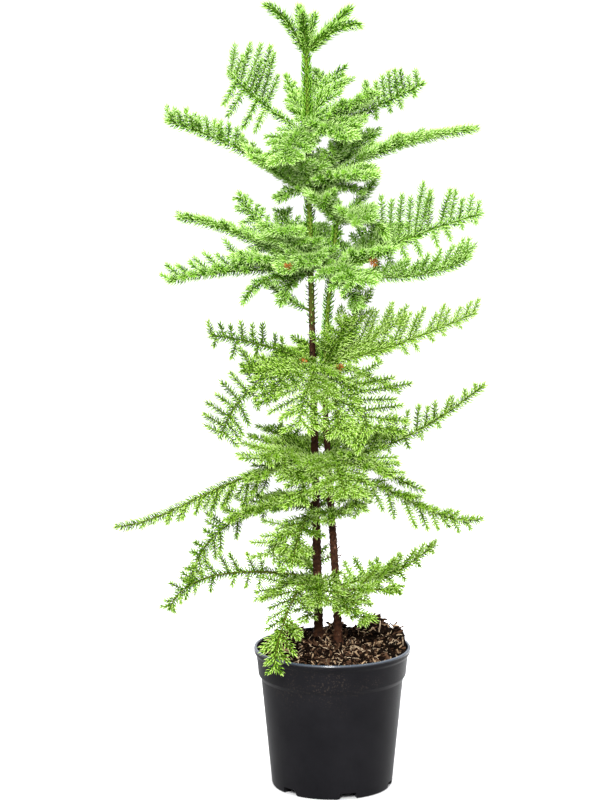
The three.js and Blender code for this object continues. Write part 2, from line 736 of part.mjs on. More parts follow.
function potProfile() {
  const outside = [
    [0, 0],
    ...quarterRound(BODY_FOOT_RADIUS - FOOT_ROUND, FOOT_ROUND, FOOT_ROUND, -90),
    [BODY_TOP_RADIUS, collarFoot - COLLAR_STEP],
    [COLLAR_FOOT_RADIUS, collarFoot],
    [COLLAR_TOP_RADIUS, POT_HEIGHT - LIP_UNDERCUT],
    [LIP_RADIUS - LIP_DRAFT, POT_HEIGHT - LIP_DEPTH],
    ...quarterRound(LIP_RADIUS - LIP_ROUND, POT_HEIGHT - LIP_ROUND, LIP_ROUND, 0),
  ];
  const inside = [
    [MOUTH_RADIUS, POT_HEIGHT - MOUTH_DROP],
    [COLLAR_TOP_RADIUS - POT_WALL, POT_HEIGHT - LIP_UNDERCUT],
    [COLLAR_FOOT_RADIUS - POT_WALL, collarFoot],
    [BODY_TOP_RADIUS - POT_WALL, collarFoot - COLLAR_STEP],
    [BODY_FOOT_RADIUS - POT_WALL, POT_FLOOR],
    [0, POT_FLOOR],
  ];
  return outside.concat(inside).map(([radius, height]) => new THREE.Vector2(radius, height));
}

function drainNotch(turn) {
  const outline = new THREE.Shape();
  outline.moveTo(-NOTCH_FOOT / 2, -CUT_OVERRUN);
  outline.lineTo(NOTCH_FOOT / 2, -CUT_OVERRUN);
  outline.lineTo(NOTCH_HEAD / 2, NOTCH_HEIGHT);
  outline.lineTo(-NOTCH_HEAD / 2, NOTCH_HEIGHT);
  outline.closePath();
  const depth = LIP_RADIUS - NOTCH_INNER_RADIUS;
  const wedge = new THREE.ExtrudeGeometry(outline, { depth, bevelEnabled: false });
  wedge.rotateX(Math.PI / 2);
  wedge.translate(0, -NOTCH_INNER_RADIUS, 0);
  wedge.rotateZ(turn);
  return solidOf(wedge);
}

function makePot() {
  const body = new THREE.LatheGeometry(potProfile(), POT_SIDES);
  body.rotateX(Math.PI / 2);
  let pot = solidOf(body);
  for (let k = 0; k < NOTCHES; k += 1) {
    const turn = radians(NOTCH_TURN + (360 * k) / NOTCHES);
    pot = pot.subtract(drainNotch(turn));
  }
  return pot;
}

// Soil: a filling of the pot whose loose top is heaped round the back, with a flat seat under each stem

function soilHeight(x, y) {
  const radius = Math.hypot(x, y);
  let height = SOIL_EDGE + SOIL_CROWN * (1 - (radius / COLLAR_FOOT_RADIUS) ** 2);
  HEAPS.forEach((heap) => {
    const away = Math.hypot(x - heap.x, y - heap.y) / heap.width;
    height += heap.rise * Math.exp(-(away ** 2));
  });
  [TALL, SHORT].forEach((stem) => {
    const away = Math.hypot(x - stem.foot.x, y - stem.foot.y);
    const seat = 1 - THREE.MathUtils.smoothstep(away, SEAT_RADIUS, SEAT_RADIUS + SEAT_BLEND);
    height = lerp(height, stem.foot.z - GAP, seat);
  });
  return height;
}

function makeSoil() {
  const rimRadius = COLLAR_TOP_RADIUS - POT_WALL - SOIL_CLEARANCE;
  const shoulderRadius = BODY_TOP_RADIUS - POT_WALL - SOIL_CLEARANCE;
  const floorRadius = BODY_FOOT_RADIUS - POT_WALL - SOIL_CLEARANCE;
  const floor = POT_FLOOR + GAP;
  const points = [new THREE.Vector3(0, 0, soilHeight(0, 0))];
  const faces = [];
  const addRing = (radius, heightAt) => {
    for (let k = 0; k < SOIL_SIDES; k += 1) {
      const angle = (2 * Math.PI * k) / SOIL_SIDES;
      const [x, y] = [radius * Math.cos(angle), radius * Math.sin(angle)];
      points.push(new THREE.Vector3(x, y, heightAt(x, y)));
    }
  };
  for (let i = 1; i <= SOIL_RINGS; i += 1) {
    addRing((rimRadius * i) / SOIL_RINGS, soilHeight);
  }
  addRing(shoulderRadius, () => SOIL_SHOULDER);
  addRing(floorRadius, () => floor);
  const bottom = points.push(new THREE.Vector3(0, 0, floor)) - 1;
  const rings = SOIL_RINGS + 2;
  for (let k = 0; k < SOIL_SIDES; k += 1) {
    const next = (k + 1) % SOIL_SIDES;
    faces.push([0, 1 + k, 1 + next]);
    for (let i = 0; i + 1 < rings; i += 1) {
      const [a, b] = [1 + i * SOIL_SIDES + k, 1 + i * SOIL_SIDES + next];
      faces.push([a, a + SOIL_SIDES, b + SOIL_SIDES], [a, b + SOIL_SIDES, b]);
    }
    const last = 1 + (rings - 1) * SOIL_SIDES;
    faces.push([last + k, bottom, last + next]);
  }
  return solidOf(shapeFrom(points, faces));
}

// Assembly

const pot = makePot();
const soil = makeSoil();
const tallStem = makeStem(TALL);
const shortStem = makeStem(SHORT);
place("pot", pot);
place("potting_soil", soil);
place("tall_stem", tallStem);
place("short_stem", shortStem);

addNode("pot", pot, POT_PLASTIC);
addNode("potting_soil", soil, SOIL);
addNode("tall_stem", tallStem, BARK);
addNode("short_stem", shortStem, BARK);

let seed = FIRST_SEED;
const fronds = WHORLS.flatMap(({ stem, tier, height, fronds: habits }) =>
  habits.map((habit) => {
    seed += 1;
    return makeFrond(stem, tier, height, habit, seed);
  }),
);
const tufts = TUFTS.map((tuft, i) => makeTuft(tuft, FIRST_SEED * (i + 2)));
fronds.forEach(growTwigs);

fronds.filter((parts) => parts.bough).forEach((parts) => {
  addNode(`${parts.name}_bough`, parts.bough, GREEN_BARK);
});
[...fronds, ...tufts].forEach(({ owner, solids }) => {
  addNode(owner, oneBody(wasm.Manifold.union(solids)), NEEDLES);
});

export default plant;
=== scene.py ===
# %% [markdown]
# # A potted Norfolk Island pine
#
# Two slender stems of one clump stand in a round black nursery pot. Each stem carries tiers of fronds, and
# a frond is a rib with two rows of soft twigs, clothed all round in short curved needles.
#
# The solid model that is loaded first holds the true sizes and a coarse version of each frond. This lesson
# dresses it: the pot, the soil and the bark are made again with fine surfaces, and every frond is grown
# again by the same seeded rule, carried on to finer twigs and single needles.

# %% Load the solid model as a fixed frame
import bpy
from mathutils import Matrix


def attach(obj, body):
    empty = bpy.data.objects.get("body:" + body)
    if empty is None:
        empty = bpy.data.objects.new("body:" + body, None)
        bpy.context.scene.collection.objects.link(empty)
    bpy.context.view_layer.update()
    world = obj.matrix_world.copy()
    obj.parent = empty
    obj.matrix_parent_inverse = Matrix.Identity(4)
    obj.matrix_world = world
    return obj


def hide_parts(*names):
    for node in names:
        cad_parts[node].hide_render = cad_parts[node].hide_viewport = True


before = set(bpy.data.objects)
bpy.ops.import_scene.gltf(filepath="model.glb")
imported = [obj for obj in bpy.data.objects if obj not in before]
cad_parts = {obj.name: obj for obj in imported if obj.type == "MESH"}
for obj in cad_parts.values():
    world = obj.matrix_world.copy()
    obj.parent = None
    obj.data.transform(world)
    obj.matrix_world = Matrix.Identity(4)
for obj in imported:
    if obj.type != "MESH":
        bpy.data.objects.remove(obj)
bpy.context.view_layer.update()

# %% [markdown]
# ## Units and small helpers
#
# The plant is described in millimetres, because that is how one measures a pot or a needle. Blender works
# in metres, so one helper scales the corners when a mesh is made. Big meshes are filled from arrays with
# `foreach_set`, which takes a second where a loop over single corners would take minutes.

# %% Units and directions
import math

import bmesh
import bpy
import numpy as np
from mathutils import Vector, noise

MM = 0.001
UP = np.array([0.0, 0.0, 1.0])


def unit(vectors):
    """Vectors scaled to length one."""
    return vectors / np.linalg.norm(vectors, axis=-1, keepdims=True)


def blend(start, end, share):
    """Value that lies a share of the way from start to end."""
    return start + (end - start) * share


print("one unit of this lesson is", MM, "m")

# %% Turn arrays into a piece of the plant


def add_object(name, data):
    """Puts a mesh, a lamp or a camera in the scene."""
    thing = bpy.data.objects.new(name, data)
    bpy.context.scene.collection.objects.link(thing)
    return thing


def add_piece(name, mesh, finish, stands_for):
    """Puts a mesh in the scene, in place of the solids that it stands for."""
    piece = add_object(name, mesh)
    mesh.materials.append(finish)
    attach(piece, "root")
    if stands_for:
        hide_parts(*stands_for)
    return piece


def triangle_mesh(name, corners, triangles, smooth=True):
    """Makes a mesh from corners in millimetres and triangles given as corner numbers."""
    mesh = bpy.data.meshes.new(name)
    mesh.vertices.add(len(corners))
    mesh.vertices.foreach_set("co", (corners * MM).astype(np.float32).ravel())
    mesh.loops.add(triangles.size)
    mesh.loops.foreach_set("vertex_index", triangles.astype(np.int32).ravel())
    mesh.polygons.add(len(triangles))
    mesh.polygons.foreach_set("loop_start", np.arange(0, triangles.size, 3, dtype=np.int32))
    mesh.polygons.foreach_set("use_smooth", np.full(len(triangles), smooth))
    mesh.update(calc_edges=True)
    return mesh


def joined(shapes):
    """Joins many (corners, triangles) pairs into one."""
    counts = [len(corners) for corners, _ in shapes]
    starts = np.concatenate([[0], np.cumsum(counts)[:-1]])
    corners = np.concatenate([corners for corners, _ in shapes])
    triangles = np.concatenate([faces + start for (_, faces), start in zip(shapes, starts)])
    return corners, triangles


def add_shape(name, shape, finish, stands_for, smooth=True):
    """Piece made from one (corners, triangles) pair."""
    return add_piece(name, triangle_mesh(name, *shape, smooth=smooth), finish, stands_for)


print("mesh helpers ready")

# %% Sweep a tube along a line


def headings_along(points):
    """Direction of travel at each point of a line."""
    return unit(np.gradient(points, axis=0))


def ring_directions(headings):
    """Two directions square to each heading, carried along the line without twisting."""
    start = np.array([1.0, 0.0, 0.0]) if abs(headings[0][0]) < 0.9 else UP
    left = []
    for heading in headings:
        start = unit(start - heading * (start @ heading))
        left.append(start)
    left = np.array(left)
    return left, np.cross(headings, left)


def ring_turns(sides):
    """Angles of evenly spaced corners round a ring."""
    return np.arange(sides) * 2 * math.pi / sides


def tube_faces(rings, sides):
    """Triangles of a closed tube whose last two corners are the centres of its ends."""
    ring, side = np.meshgrid(np.arange(rings - 1), np.arange(sides), indexing="ij")
    here = ring * sides + side
    across = ring * sides + (side + 1) % sides
    wall = np.stack([here, across, across + sides, here, across + sides, here + sides], axis=-1)
    edge = np.arange(sides)
    step = (edge + 1) % sides
    last = (rings - 1) * sides
    foot = np.stack([np.full(sides, rings * sides), step, edge], axis=-1)
    head = np.stack([np.full(sides, rings * sides + 1), last + edge, last + step], axis=-1)
    return np.concatenate([wall.reshape(-1, 3), foot, head])


def tube(points, radii, sides):
    """Closed tube along a line; radii holds one number a point, or one a point and side."""
    left, top = ring_directions(headings_along(points))
    turn = ring_turns(sides)
    spokes = left[:, None] * np.cos(turn)[None, :, None] + top[:, None] * np.sin(turn)[None, :, None]
    radii = np.broadcast_to(np.asarray(radii).reshape(len(points), -1), (len(points), sides))
    wall = points[:, None] + spokes * radii[..., None]
    corners = np.concatenate([wall.reshape(-1, 3), points[:1], points[-1:]])
    return corners, tube_faces(len(points), sides)


print("tube helper ready")

# %% [markdown]
# ## Shared surface effects
#
# No natural or moulded surface has one flat colour. Three effects come back in several finishes here:
# cloudy patches between two tones, a fine grain that roughens and dents the surface, and scattered flecks.
# They could be wired into every finish anew, but each is a shader node group, built once and placed in a
# finish with its own values. The groups only put out colours and values. The shader itself stays in each
# finish.

# %% Start a shader group


def start_group(name, inputs, outputs):
    """Empty shader group; inputs map a socket's name to its start value, outputs to its kind."""
    group = bpy.data.node_groups.new(name, "ShaderNodeTree")
    for label, value in inputs.items():
        kind = "NodeSocketFloat" if isinstance(value, float) else "NodeSocketColor"
        group.interface.new_socket(label, in_out="INPUT", socket_type=kind).default_value = value
    for label, kind in outputs.items():
        group.interface.new_socket(label, in_out="OUTPUT", socket_type=kind)
    return group, group.nodes.new("NodeGroupInput").outputs, group.nodes.new("NodeGroupOutput").inputs


print("group helper ready")

# %% Nodes for noise and ranges


def add_node(tree, kind, **settings):
    """Adds a shader node and sets its options."""
    node = tree.nodes.new(kind)
    for label, value in settings.items():
        setattr(node, label, value)
    return node


def feed(tree, socket, value):
    """Links a value that is a socket itself, or sets a plain one."""
    if isinstance(value, bpy.types.NodeSocket):
        tree.links.new(value, socket)
    else:
        socket.default_value = value


def add_noise(tree, scale, detail, roughness):
    """Noise texture that is fixed to the object."""
    place = add_node(tree, "ShaderNodeTexCoord")
    cloud = add_node(tree, "ShaderNodeTexNoise")
    tree.links.new(place.outputs["Object"], cloud.inputs["Vector"])
    for label, value in (("Scale", scale), ("Detail", detail), ("Roughness", roughness)):
        feed(tree, cloud.inputs[label], value)
    return cloud.outputs["Fac"]


def add_range(tree, value, low, high, to_low=0.0, to_high=1.0):
    """Maps a value from one range to another and holds it inside."""
    node = add_node(tree, "ShaderNodeMapRange")
    tree.links.new(value, node.inputs["Value"])
    for label, bound in zip(("From Min", "From Max", "To Min", "To Max"), (low, high, to_low, to_high)):
        feed(tree, node.inputs[label], bound)
    return node.outputs["Result"]


print("noise and range nodes ready")

# %% Nodes for colours and heights


def add_mix(tree, share, first, second):
    """Colour between two colours; each is a socket or four numbers."""
    node = add_node(tree, "ShaderNodeMix", data_type="RGBA")
    tree.links.new(share, node.inputs["Factor"])
    for label, tone in (("A", first), ("B", second)):
        feed(tree, next(s for s in node.inputs if s.name == label and s.type == "RGBA"), tone)
    return next(s for s in node.outputs if s.type == "RGBA")


def add_height(tree, low, high):
    """Share of the way up between two heights in millimetres."""
    place = add_node(tree, "ShaderNodeTexCoord")
    split = add_node(tree, "ShaderNodeSeparateXYZ")
    tree.links.new(place.outputs["Object"], split.inputs[0])
    return add_range(tree, split.outputs["Z"], low * MM, high * MM)


def add_product(tree, first, second):
    """Product of two values."""
    node = add_node(tree, "ShaderNodeMath", operation="MULTIPLY")
    tree.links.new(first, node.inputs[0])
    tree.links.new(second, node.inputs[1])
    return node.outputs[0]


print("colour and height nodes ready")

# %% The three shared effects
BLACK = (0.0, 0.0, 0.0, 1.0)
WHITE = (1.0, 1.0, 1.0, 1.0)
# noise values between which each effect comes in
PATCH_EDGES = (0.33, 0.67)
GRAIN_EDGES = (0.3, 0.7)
FLECK_EDGES = (0.58, 0.66)
DRIFT_EDGES = (0.45, 0.65)


def make_patches():
    """Cloudy patches between two tones."""
    group, given, result = start_group(
        "cloudy patches", {"Dark": BLACK, "Light": WHITE, "Scale": 50.0}, {"Color": "NodeSocketColor"}
    )
    cloud = add_noise(group, given["Scale"], detail=5.0, roughness=0.7)
    share = add_range(group, cloud, *PATCH_EDGES)
    group.links.new(add_mix(group, share, given["Dark"], given["Light"]), result["Color"])
    return group


def make_grain():
    """Fine grain: a height for a bump and a roughness that varies with it."""
    group, given, result = start_group(
        "fine grain",
        {"Scale": 900.0, "Smoothest": 0.4, "Roughest": 0.6},
        {"Height": "NodeSocketFloat", "Roughness": "NodeSocketFloat"},
    )
    cloud = add_noise(group, given["Scale"], detail=3.0, roughness=0.6)
    group.links.new(cloud, result["Height"])
    rough = add_range(group, cloud, *GRAIN_EDGES, given["Smoothest"], given["Roughest"])
    group.links.new(rough, result["Roughness"])
    return group


def make_flecks():
    """Scattered flecks as a mask, gathered in drifts."""
    group, given, result = start_group(
        "scattered flecks", {"Scale": 300.0, "Amount": 0.5, "Drift": 30.0}, {"Mask": "NodeSocketFloat"}
    )
    fine = add_noise(group, given["Scale"], detail=2.0, roughness=0.5)
    drift = add_noise(group, given["Drift"], detail=2.0, roughness=0.5)
    fleck = add_range(group, fine, *FLECK_EDGES)
    gathered = add_product(group, fleck, add_range(group, drift, *DRIFT_EDGES))
    group.links.new(add_product(group, gathered, given["Amount"]), result["Mask"])
    return group


PATCHES = make_patches()
GRAIN = make_grain()
FLECKS = make_flecks()
print("shared effects:", [group.name for group in (PATCHES, GRAIN, FLECKS)])

# %% Start a finish


def place_effect(tree, group, **values):
    """Places a shared effect in a finish with values of its own."""
    node = add_node(tree, "ShaderNodeGroup", node_tree=group)
    for label, value in values.items():
        node.inputs[label].default_value = value
    return node.outputs


def start_finish(name, grain_scale, smoothest, roughest, dent, gloss):
    """New finish with its gloss and its grain; the caller adds the colour."""
    finish = bpy.data.materials.new(name)
    finish.use_nodes = True
    tree = finish.node_tree
    shader = tree.nodes["Principled BSDF"]
    shader.inputs["Specular IOR Level"].default_value = gloss
    grain = place_effect(tree, GRAIN, Scale=grain_scale, Smoothest=smoothest, Roughest=roughest)
    tree.links.new(grain["Roughness"], shader.inputs["Roughness"])
    bump = add_node(tree, "ShaderNodeBump")
    bump.inputs["Distance"].default_value = dent * MM
    tree.links.new(grain["Height"], bump.inputs["Height"])
    tree.links.new(bump.outputs["Normal"], shader.inputs["Normal"])
    return finish, tree, shader


def opaque(red, green, blue):
    """Colour socket value."""
    return (red, green, blue, 1.0)


def add_patches(tree, dark, light, scale):
    """Colour socket of cloudy patches between two tones."""
    return place_effect(tree, PATCHES, Dark=opaque(*dark), Light=opaque(*light), Scale=scale)["Color"]


print("finish helper ready")

# %% [markdown]
# ## The nursery pot
#
# The real pot is injection moulded in black plastic: a rolled lip, a collar with a step under it, a body
# that tapers to a rounded foot, and drain notches. It could be a cylinder that is pushed into shape, but a
# turned piece is best drawn as half a section and spun. Each corner of the section is cut back to a soft
# curve, because the highlight that runs along such an edge is what makes plastic read as moulded. A clear
# coat comes in on the lip by height, and so does a bluish painted highlight mixed into its colour.

# %% Black plastic with dust and a painted highlight on the lip
POT_DARK = (0.0030, 0.0029, 0.0036)
POT_LIGHT = (0.0052, 0.0050, 0.0060)
DUST = opaque(0.16, 0.12, 0.085)
DUSTY_HEIGHTS = (110, 160)  # millimetres, as the next two
LIP_HIGHLIGHT_HEIGHTS = (187.5, 189.5)
POLISHED_HEIGHTS = (186.5, 188.5)
# painted highlight: a bluish band mixed into the colour of the lip's rounded top
LIP_PAINTED_HIGHLIGHT = opaque(0.026, 0.034, 0.047)
LIP_TINT = opaque(0.86, 0.94, 1.0)
LIP_ROUGHNESS = 0.22


def make_pot_finish():
    """Satin black plastic, faintly clouded, with pale dust on its upper half and a painted lip highlight.
    """
    finish, tree, shader = start_finish(
        "black_pot_plastic", grain_scale=1400.0, smoothest=0.38, roughest=0.5, dent=0.05, gloss=0.05
    )
    dust = place_effect(tree, FLECKS, Scale=420.0, Amount=0.1, Drift=26.0)
    high_dust = add_product(tree, dust["Mask"], add_height(tree, *DUSTY_HEIGHTS))
    dusty = add_mix(tree, high_dust, add_patches(tree, POT_DARK, POT_LIGHT, 14.0), DUST)
    # painted highlight mixed into the base colour along the lip, by height
    highlighted_lip = add_mix(tree, add_height(tree, *LIP_HIGHLIGHT_HEIGHTS), dusty, LIP_PAINTED_HIGHLIGHT)
    tree.links.new(highlighted_lip, shader.inputs["Base Color"])
    tree.links.new(add_height(tree, *POLISHED_HEIGHTS), shader.inputs["Coat Weight"])
    shader.inputs["Coat Roughness"].default_value = LIP_ROUGHNESS
    shader.inputs["Coat Tint"].default_value = LIP_TINT
    return finish


POT_PLASTIC = make_pot_finish()
print("finish:", POT_PLASTIC.name)

# %% Section of the pot
POT_HEIGHT = 190
POT_RADIUS = 105
POT_FLOOR = 11.5
COLLAR_FOOT = 153
CORNER_STEPS = 7

# radius, height and how far the corner is cut back
POT_SECTION = [
    (0, 0, 0),
    (80.5, 0, 4.5),
    (95, 147, 1.2),
    (98.7, COLLAR_FOOT, 1.2),
    (101.3, 179, 1.5),
    (104.3, 183, 1.2),
    (POT_RADIUS, POT_HEIGHT, 2.8),
    (101, POT_HEIGHT, 1.2),
    (99.3, 179, 2),
    (96.7, COLLAR_FOOT, 1),
    (93, 147, 1),
    (78.5, POT_FLOOR, 2),
    (0, POT_FLOOR, 0),
]


def softened(section):
    """Section with each corner replaced by a short curve."""
    points = np.array([(radius, 0, height) for radius, height, _ in section], float)
    line = [points[0]]
    for before, corner, after, (_, _, cut) in zip(points, points[1:], points[2:], section[1:]):
        start = corner + unit(before - corner) * cut
        end = corner + unit(after - corner) * cut
        for share in np.linspace(0, 1, CORNER_STEPS):
            line.append(blend(blend(start, corner, share), blend(corner, end, share), share))
    return line + [points[-1]]


print("section points:", len(softened(POT_SECTION)))

# %% Spin the section
POT_STEPS = 144
WELD = 1e-6  # metres


def spun(section):
    """Mesh of a section turned once about the upright axis."""
    shape = bmesh.new()
    corners = [shape.verts.new(point * MM) for point in section]
    edges = [shape.edges.new(pair) for pair in zip(corners, corners[1:])]
    bmesh.ops.spin(
        shape, geom=corners + edges, cent=(0, 0, 0), axis=(0, 0, 1), angle=2 * math.pi, steps=POT_STEPS,
        use_merge=True,
    )
    bmesh.ops.remove_doubles(shape, verts=shape.verts, dist=WELD)
    bmesh.ops.recalc_face_normals(shape, faces=shape.faces)
    mesh = bpy.data.meshes.new("pot_shell")
    shape.to_mesh(mesh)
    shape.free()
    return mesh


pot_shell = spun(softened(POT_SECTION))
print("faces of the spun pot:", len(pot_shell.polygons))

# %% Cut the drain notches
NOTCHES = 6
NOTCH_TURN = -45  # degrees from the front to the first notch
NOTCH_FOOT = 26
NOTCH_HEAD = 21
NOTCH_HEIGHT = 9
NOTCH_INNER_RADIUS = 54
NOTCH_OVERRUN = 1
SHARP_ANGLE = math.radians(40)


def notch_wedge(turn):
    """Corners and triangles of the wedge that is cut away for one drain notch."""
    foot, head = NOTCH_FOOT / 2, NOTCH_HEAD / 2
    outline = [(-foot, -NOTCH_OVERRUN), (foot, -NOTCH_OVERRUN), (head, NOTCH_HEIGHT), (-head, NOTCH_HEIGHT)]
    corners = [(x, y, z) for y in (-POT_RADIUS, -NOTCH_INNER_RADIUS) for x, z in outline]
    x, y, z = np.array(corners).T
    cos, sin = math.cos(turn), math.sin(turn)
    turned = np.stack([x * cos - y * sin, x * sin + y * cos, z], axis=-1)
    quads = [(0, 1, 2, 3), (7, 6, 5, 4), (0, 4, 5, 1), (1, 5, 6, 2), (2, 6, 7, 3), (3, 7, 4, 0)]
    faces = [face for a, b, c, d in quads for face in ((a, b, c), (a, c, d))]
    return turned, np.array(faces)


def make_pot(shell):
    """Spun pot with its drain notches cut by a Boolean."""
    pot = add_piece("nursery_pot", shell, POT_PLASTIC, ["pot"])
    turns = [math.radians(NOTCH_TURN + 360 * k / NOTCHES) for k in range(NOTCHES)]
    wedges = triangle_mesh("notch_wedges", *joined([notch_wedge(turn) for turn in turns]), smooth=False)
    cutter = add_object("notch_wedges", wedges)
    cut = pot.modifiers.new("drain notches", "BOOLEAN")
    cut.object = cutter
    cut.solver = "EXACT"
    cut_mesh = bpy.data.meshes.new_from_object(pot.evaluated_get(bpy.context.evaluated_depsgraph_get()))
    pot.modifiers.clear()
    pot.data = cut_mesh
    bpy.data.objects.remove(cutter)
    pot.data.polygons.foreach_set("use_smooth", np.full(len(pot.data.polygons), True))
    pot.data.set_sharp_from_angle(angle=SHARP_ANGLE)
    return pot


nursery_pot = make_pot(pot_shell)
print("pot faces:", len(nursery_pot.data.polygons))

# %% [markdown]
# ## Where the stems stand
#
# The taller stem leans a little to the left and the shorter one bows. Each could be drawn as a curve by
# hand, but both are worked out from a few sizes, the same ones that the solid model uses, because the soil,
# the fronds and the needles all have to find the stem.

# %% Line and thickness of each stem
TALL = {
    "name": "tall", "foot": (-18, 32, 196), "height": 776, "lean": (-17, -6), "bow": 0, "radii": (6.2, 2.6),
}
SHORT = {
    "name": "short", "foot": (8, 10, 191.5), "height": 558, "lean": (-3, 4), "bow": 16, "radii": (5.8, 2.4),
}
BOW_SKEW = 1.5  # moves the widest part of a bow up the stem
AIR = 0.3  # between the solid model's neighbouring pieces


def stem_share(stem, height):
    """How far up its stem a height lies."""
    return (height - stem["foot"][2]) / stem["height"]


def stem_point(stem, height):
    """Middle of the stem at a height."""
    share = stem_share(stem, height)
    bow = stem["bow"] * math.sin(math.pi * max(share, 0) ** BOW_SKEW)
    foot, lean = stem["foot"], stem["lean"]
    return np.array([foot[0] + lean[0] * share - bow, foot[1] + lean[1] * share, height])


def stem_radius(stem, height):
    """Thickness of the stem at a height, from its middle."""
    return blend(*stem["radii"], stem_share(stem, height))


for stem in (TALL, SHORT):
    print(stem["name"], "stem tip at", stem_point(stem, stem["foot"][2] + stem["height"]).round(1))

# %% [markdown]
# ## Bark compost
#
# Potting compost is coarse: dark crumbs, torn bits of bark and pale fibres, loosely heaped round the back
# of the pot. A bump on a disc would look flat from the side, so the bed is a disc of fine rings whose
# corners are lifted by layers of noise.

# %% Finishes of the compost
SPECK = opaque(0.13, 0.085, 0.05)


def make_compost_finish(name, dark, light):
    """Crumbly matt finish between two earth tones, with pale specks."""
    finish, tree, shader = start_finish(
        name, grain_scale=700.0, smoothest=0.75, roughest=0.95, dent=0.5, gloss=0.02
    )
    specks = place_effect(tree, FLECKS, Scale=520.0, Amount=0.15, Drift=120.0)
    flecked = add_mix(tree, specks["Mask"], add_patches(tree, dark, light, 160.0), SPECK)
    tree.links.new(flecked, shader.inputs["Base Color"])
    return finish


CRUMB = make_compost_finish("dark_compost_crumb", (0.0006, 0.0002, 0.0001), (0.0045, 0.0022, 0.0014))
DARK_BARK_BIT = make_compost_finish("dark_bark_bits", (0.0008, 0.0004, 0.0002), (0.007, 0.0038, 0.0023))
RED_BARK_BIT = make_compost_finish("red_brown_bark_bits", (0.018, 0.009, 0.005), (0.064, 0.034, 0.019))
PALE_BARK_BIT = make_compost_finish("pale_bark_bits", (0.10, 0.062, 0.035), (0.32, 0.225, 0.135))
FIBRE = make_compost_finish("coir_fibres", (0.22, 0.15, 0.085), (0.50, 0.40, 0.28))
compost_finishes = (CRUMB, DARK_BARK_BIT, RED_BARK_BIT, PALE_BARK_BIT, FIBRE)
print("compost finishes:", [finish.name for finish in compost_finishes])

# %% Height of the compost
SOIL_EDGE = 184
SOIL_CROWN = 7
SOIL_RADIUS = 98.4
SEAT_RADIUS = 8
SEAT_BLEND = 9
# middle, rise and width of each heap
HEAPS = [((57, 54), 30, 24), ((89, 20), 25, 14), ((-58, 60), 13, 20), ((5, 82), 9, 26)]
# size and depth of each layer of lumps
LUMPS = [(19, 5.0), (8.5, 4.0), (3.6, 2.0)]


def lumpiness(x, y):
    """Loose lumps on the compost at a place."""
    return sum(depth * noise.noise(Vector((x / size, y / size, size))) for size, depth in LUMPS)


def soil_height(x, y):
    """Height of the compost at a place."""
    height = SOIL_EDGE + SOIL_CROWN * (1 - (math.hypot(x, y) / SOIL_RADIUS) ** 2)
    for (heap_x, heap_y), rise, width in HEAPS:
        height += rise * math.exp(-((math.hypot(x - heap_x, y - heap_y) / width) ** 2))
    height += lumpiness(x, y)
    for stem in (TALL, SHORT):
        away = math.hypot(x - stem["foot"][0], y - stem["foot"][1])
        loose = min(1, max(0, (away - SEAT_RADIUS) / SEAT_BLEND))
        height = blend(stem["foot"][2] - AIR, height, loose * loose * (3 - 2 * loose))
    return height


print("compost at the middle:", round(soil_height(0, 0), 1))
print("compost on the back heap:", round(soil_height(*HEAPS[0][0]), 1))

# %% Bed of compost
BED_RINGS = 64
BED_SIDES = 180
SOIL_SHOULDER = 146
SOIL_SHOULDER_RADIUS = 92.1
SOIL_FLOOR_RADIUS = 77.6


def make_bed():
    """Closed filling of the pot with a lumpy top."""
    turn = ring_turns(BED_SIDES)
    circle = np.stack([np.cos(turn), np.sin(turn)], axis=-1)
    rings = []
    for radius in np.linspace(SOIL_RADIUS, SOIL_RADIUS / BED_RINGS, BED_RINGS):
        rings.append([(x, y, soil_height(x, y)) for x, y in circle * radius])
    for radius, height in ((SOIL_SHOULDER_RADIUS, SOIL_SHOULDER), (SOIL_FLOOR_RADIUS, POT_FLOOR + AIR)):
        rings.insert(0, [(x, y, height) for x, y in circle * radius])
    ends = [(0, 0, POT_FLOOR + AIR), (0, 0, soil_height(0, 0))]
    corners = np.concatenate([np.array(rings).reshape(-1, 3), ends])
    return corners, tube_faces(len(rings), BED_SIDES)


compost_bed = add_shape("compost_bed", make_bed(), CRUMB, ["potting_soil"])
print("compost bed faces:", len(compost_bed.data.polygons))

# %% [markdown]
# ## Bark bits and fibres
#
# What catches the eye on the compost is its litter: torn bits of bark in three browns, and stiff pale
# fibres that arch over them. A texture would stay flat, and a particle system would leave instances behind,
# so each bit is a small uneven block and each fibre a thin bent tube, joined into one piece for each kind.

# %% Places for litter on the bed
STREWN_RADIUS = 95
STEM_ROOM = 8


def strewn_places(count, rng):
    """Places on the compost, clear of the stems."""
    feet = [stem["foot"] for stem in (TALL, SHORT)]
    places = []
    while len(places) < count:
        radius = STREWN_RADIUS * math.sqrt(rng.random())
        turn = rng.random() * 2 * math.pi
        x, y = radius * math.cos(turn), radius * math.sin(turn)
        if all(math.hypot(x - foot[0], y - foot[1]) > STEM_ROOM for foot in feet):
            places.append((x, y))
    return places


print("litter lies within", STREWN_RADIUS, "mm of the middle")

# %% Bark bits strewn over the bed
BIT_TILT = 0.7
# shares of a bit's length, and of its even size
BIT_WIDTH = (0.1, 0.26)
BIT_THICKNESS = (0.06, 0.16)
BIT_RAGGEDNESS = (0.55, 1.15)
CUBE_CORNERS = np.array([(x, y, z) for x in (-1, 1) for y in (-1, 1) for z in (-1, 1)], float)
CUBE_FACES = np.array([
    (0, 1, 3), (0, 3, 2), (4, 6, 7), (4, 7, 5), (0, 4, 5), (0, 5, 1),
    (2, 3, 7), (2, 7, 6), (0, 2, 6), (0, 6, 4), (1, 5, 7), (1, 7, 3),
])


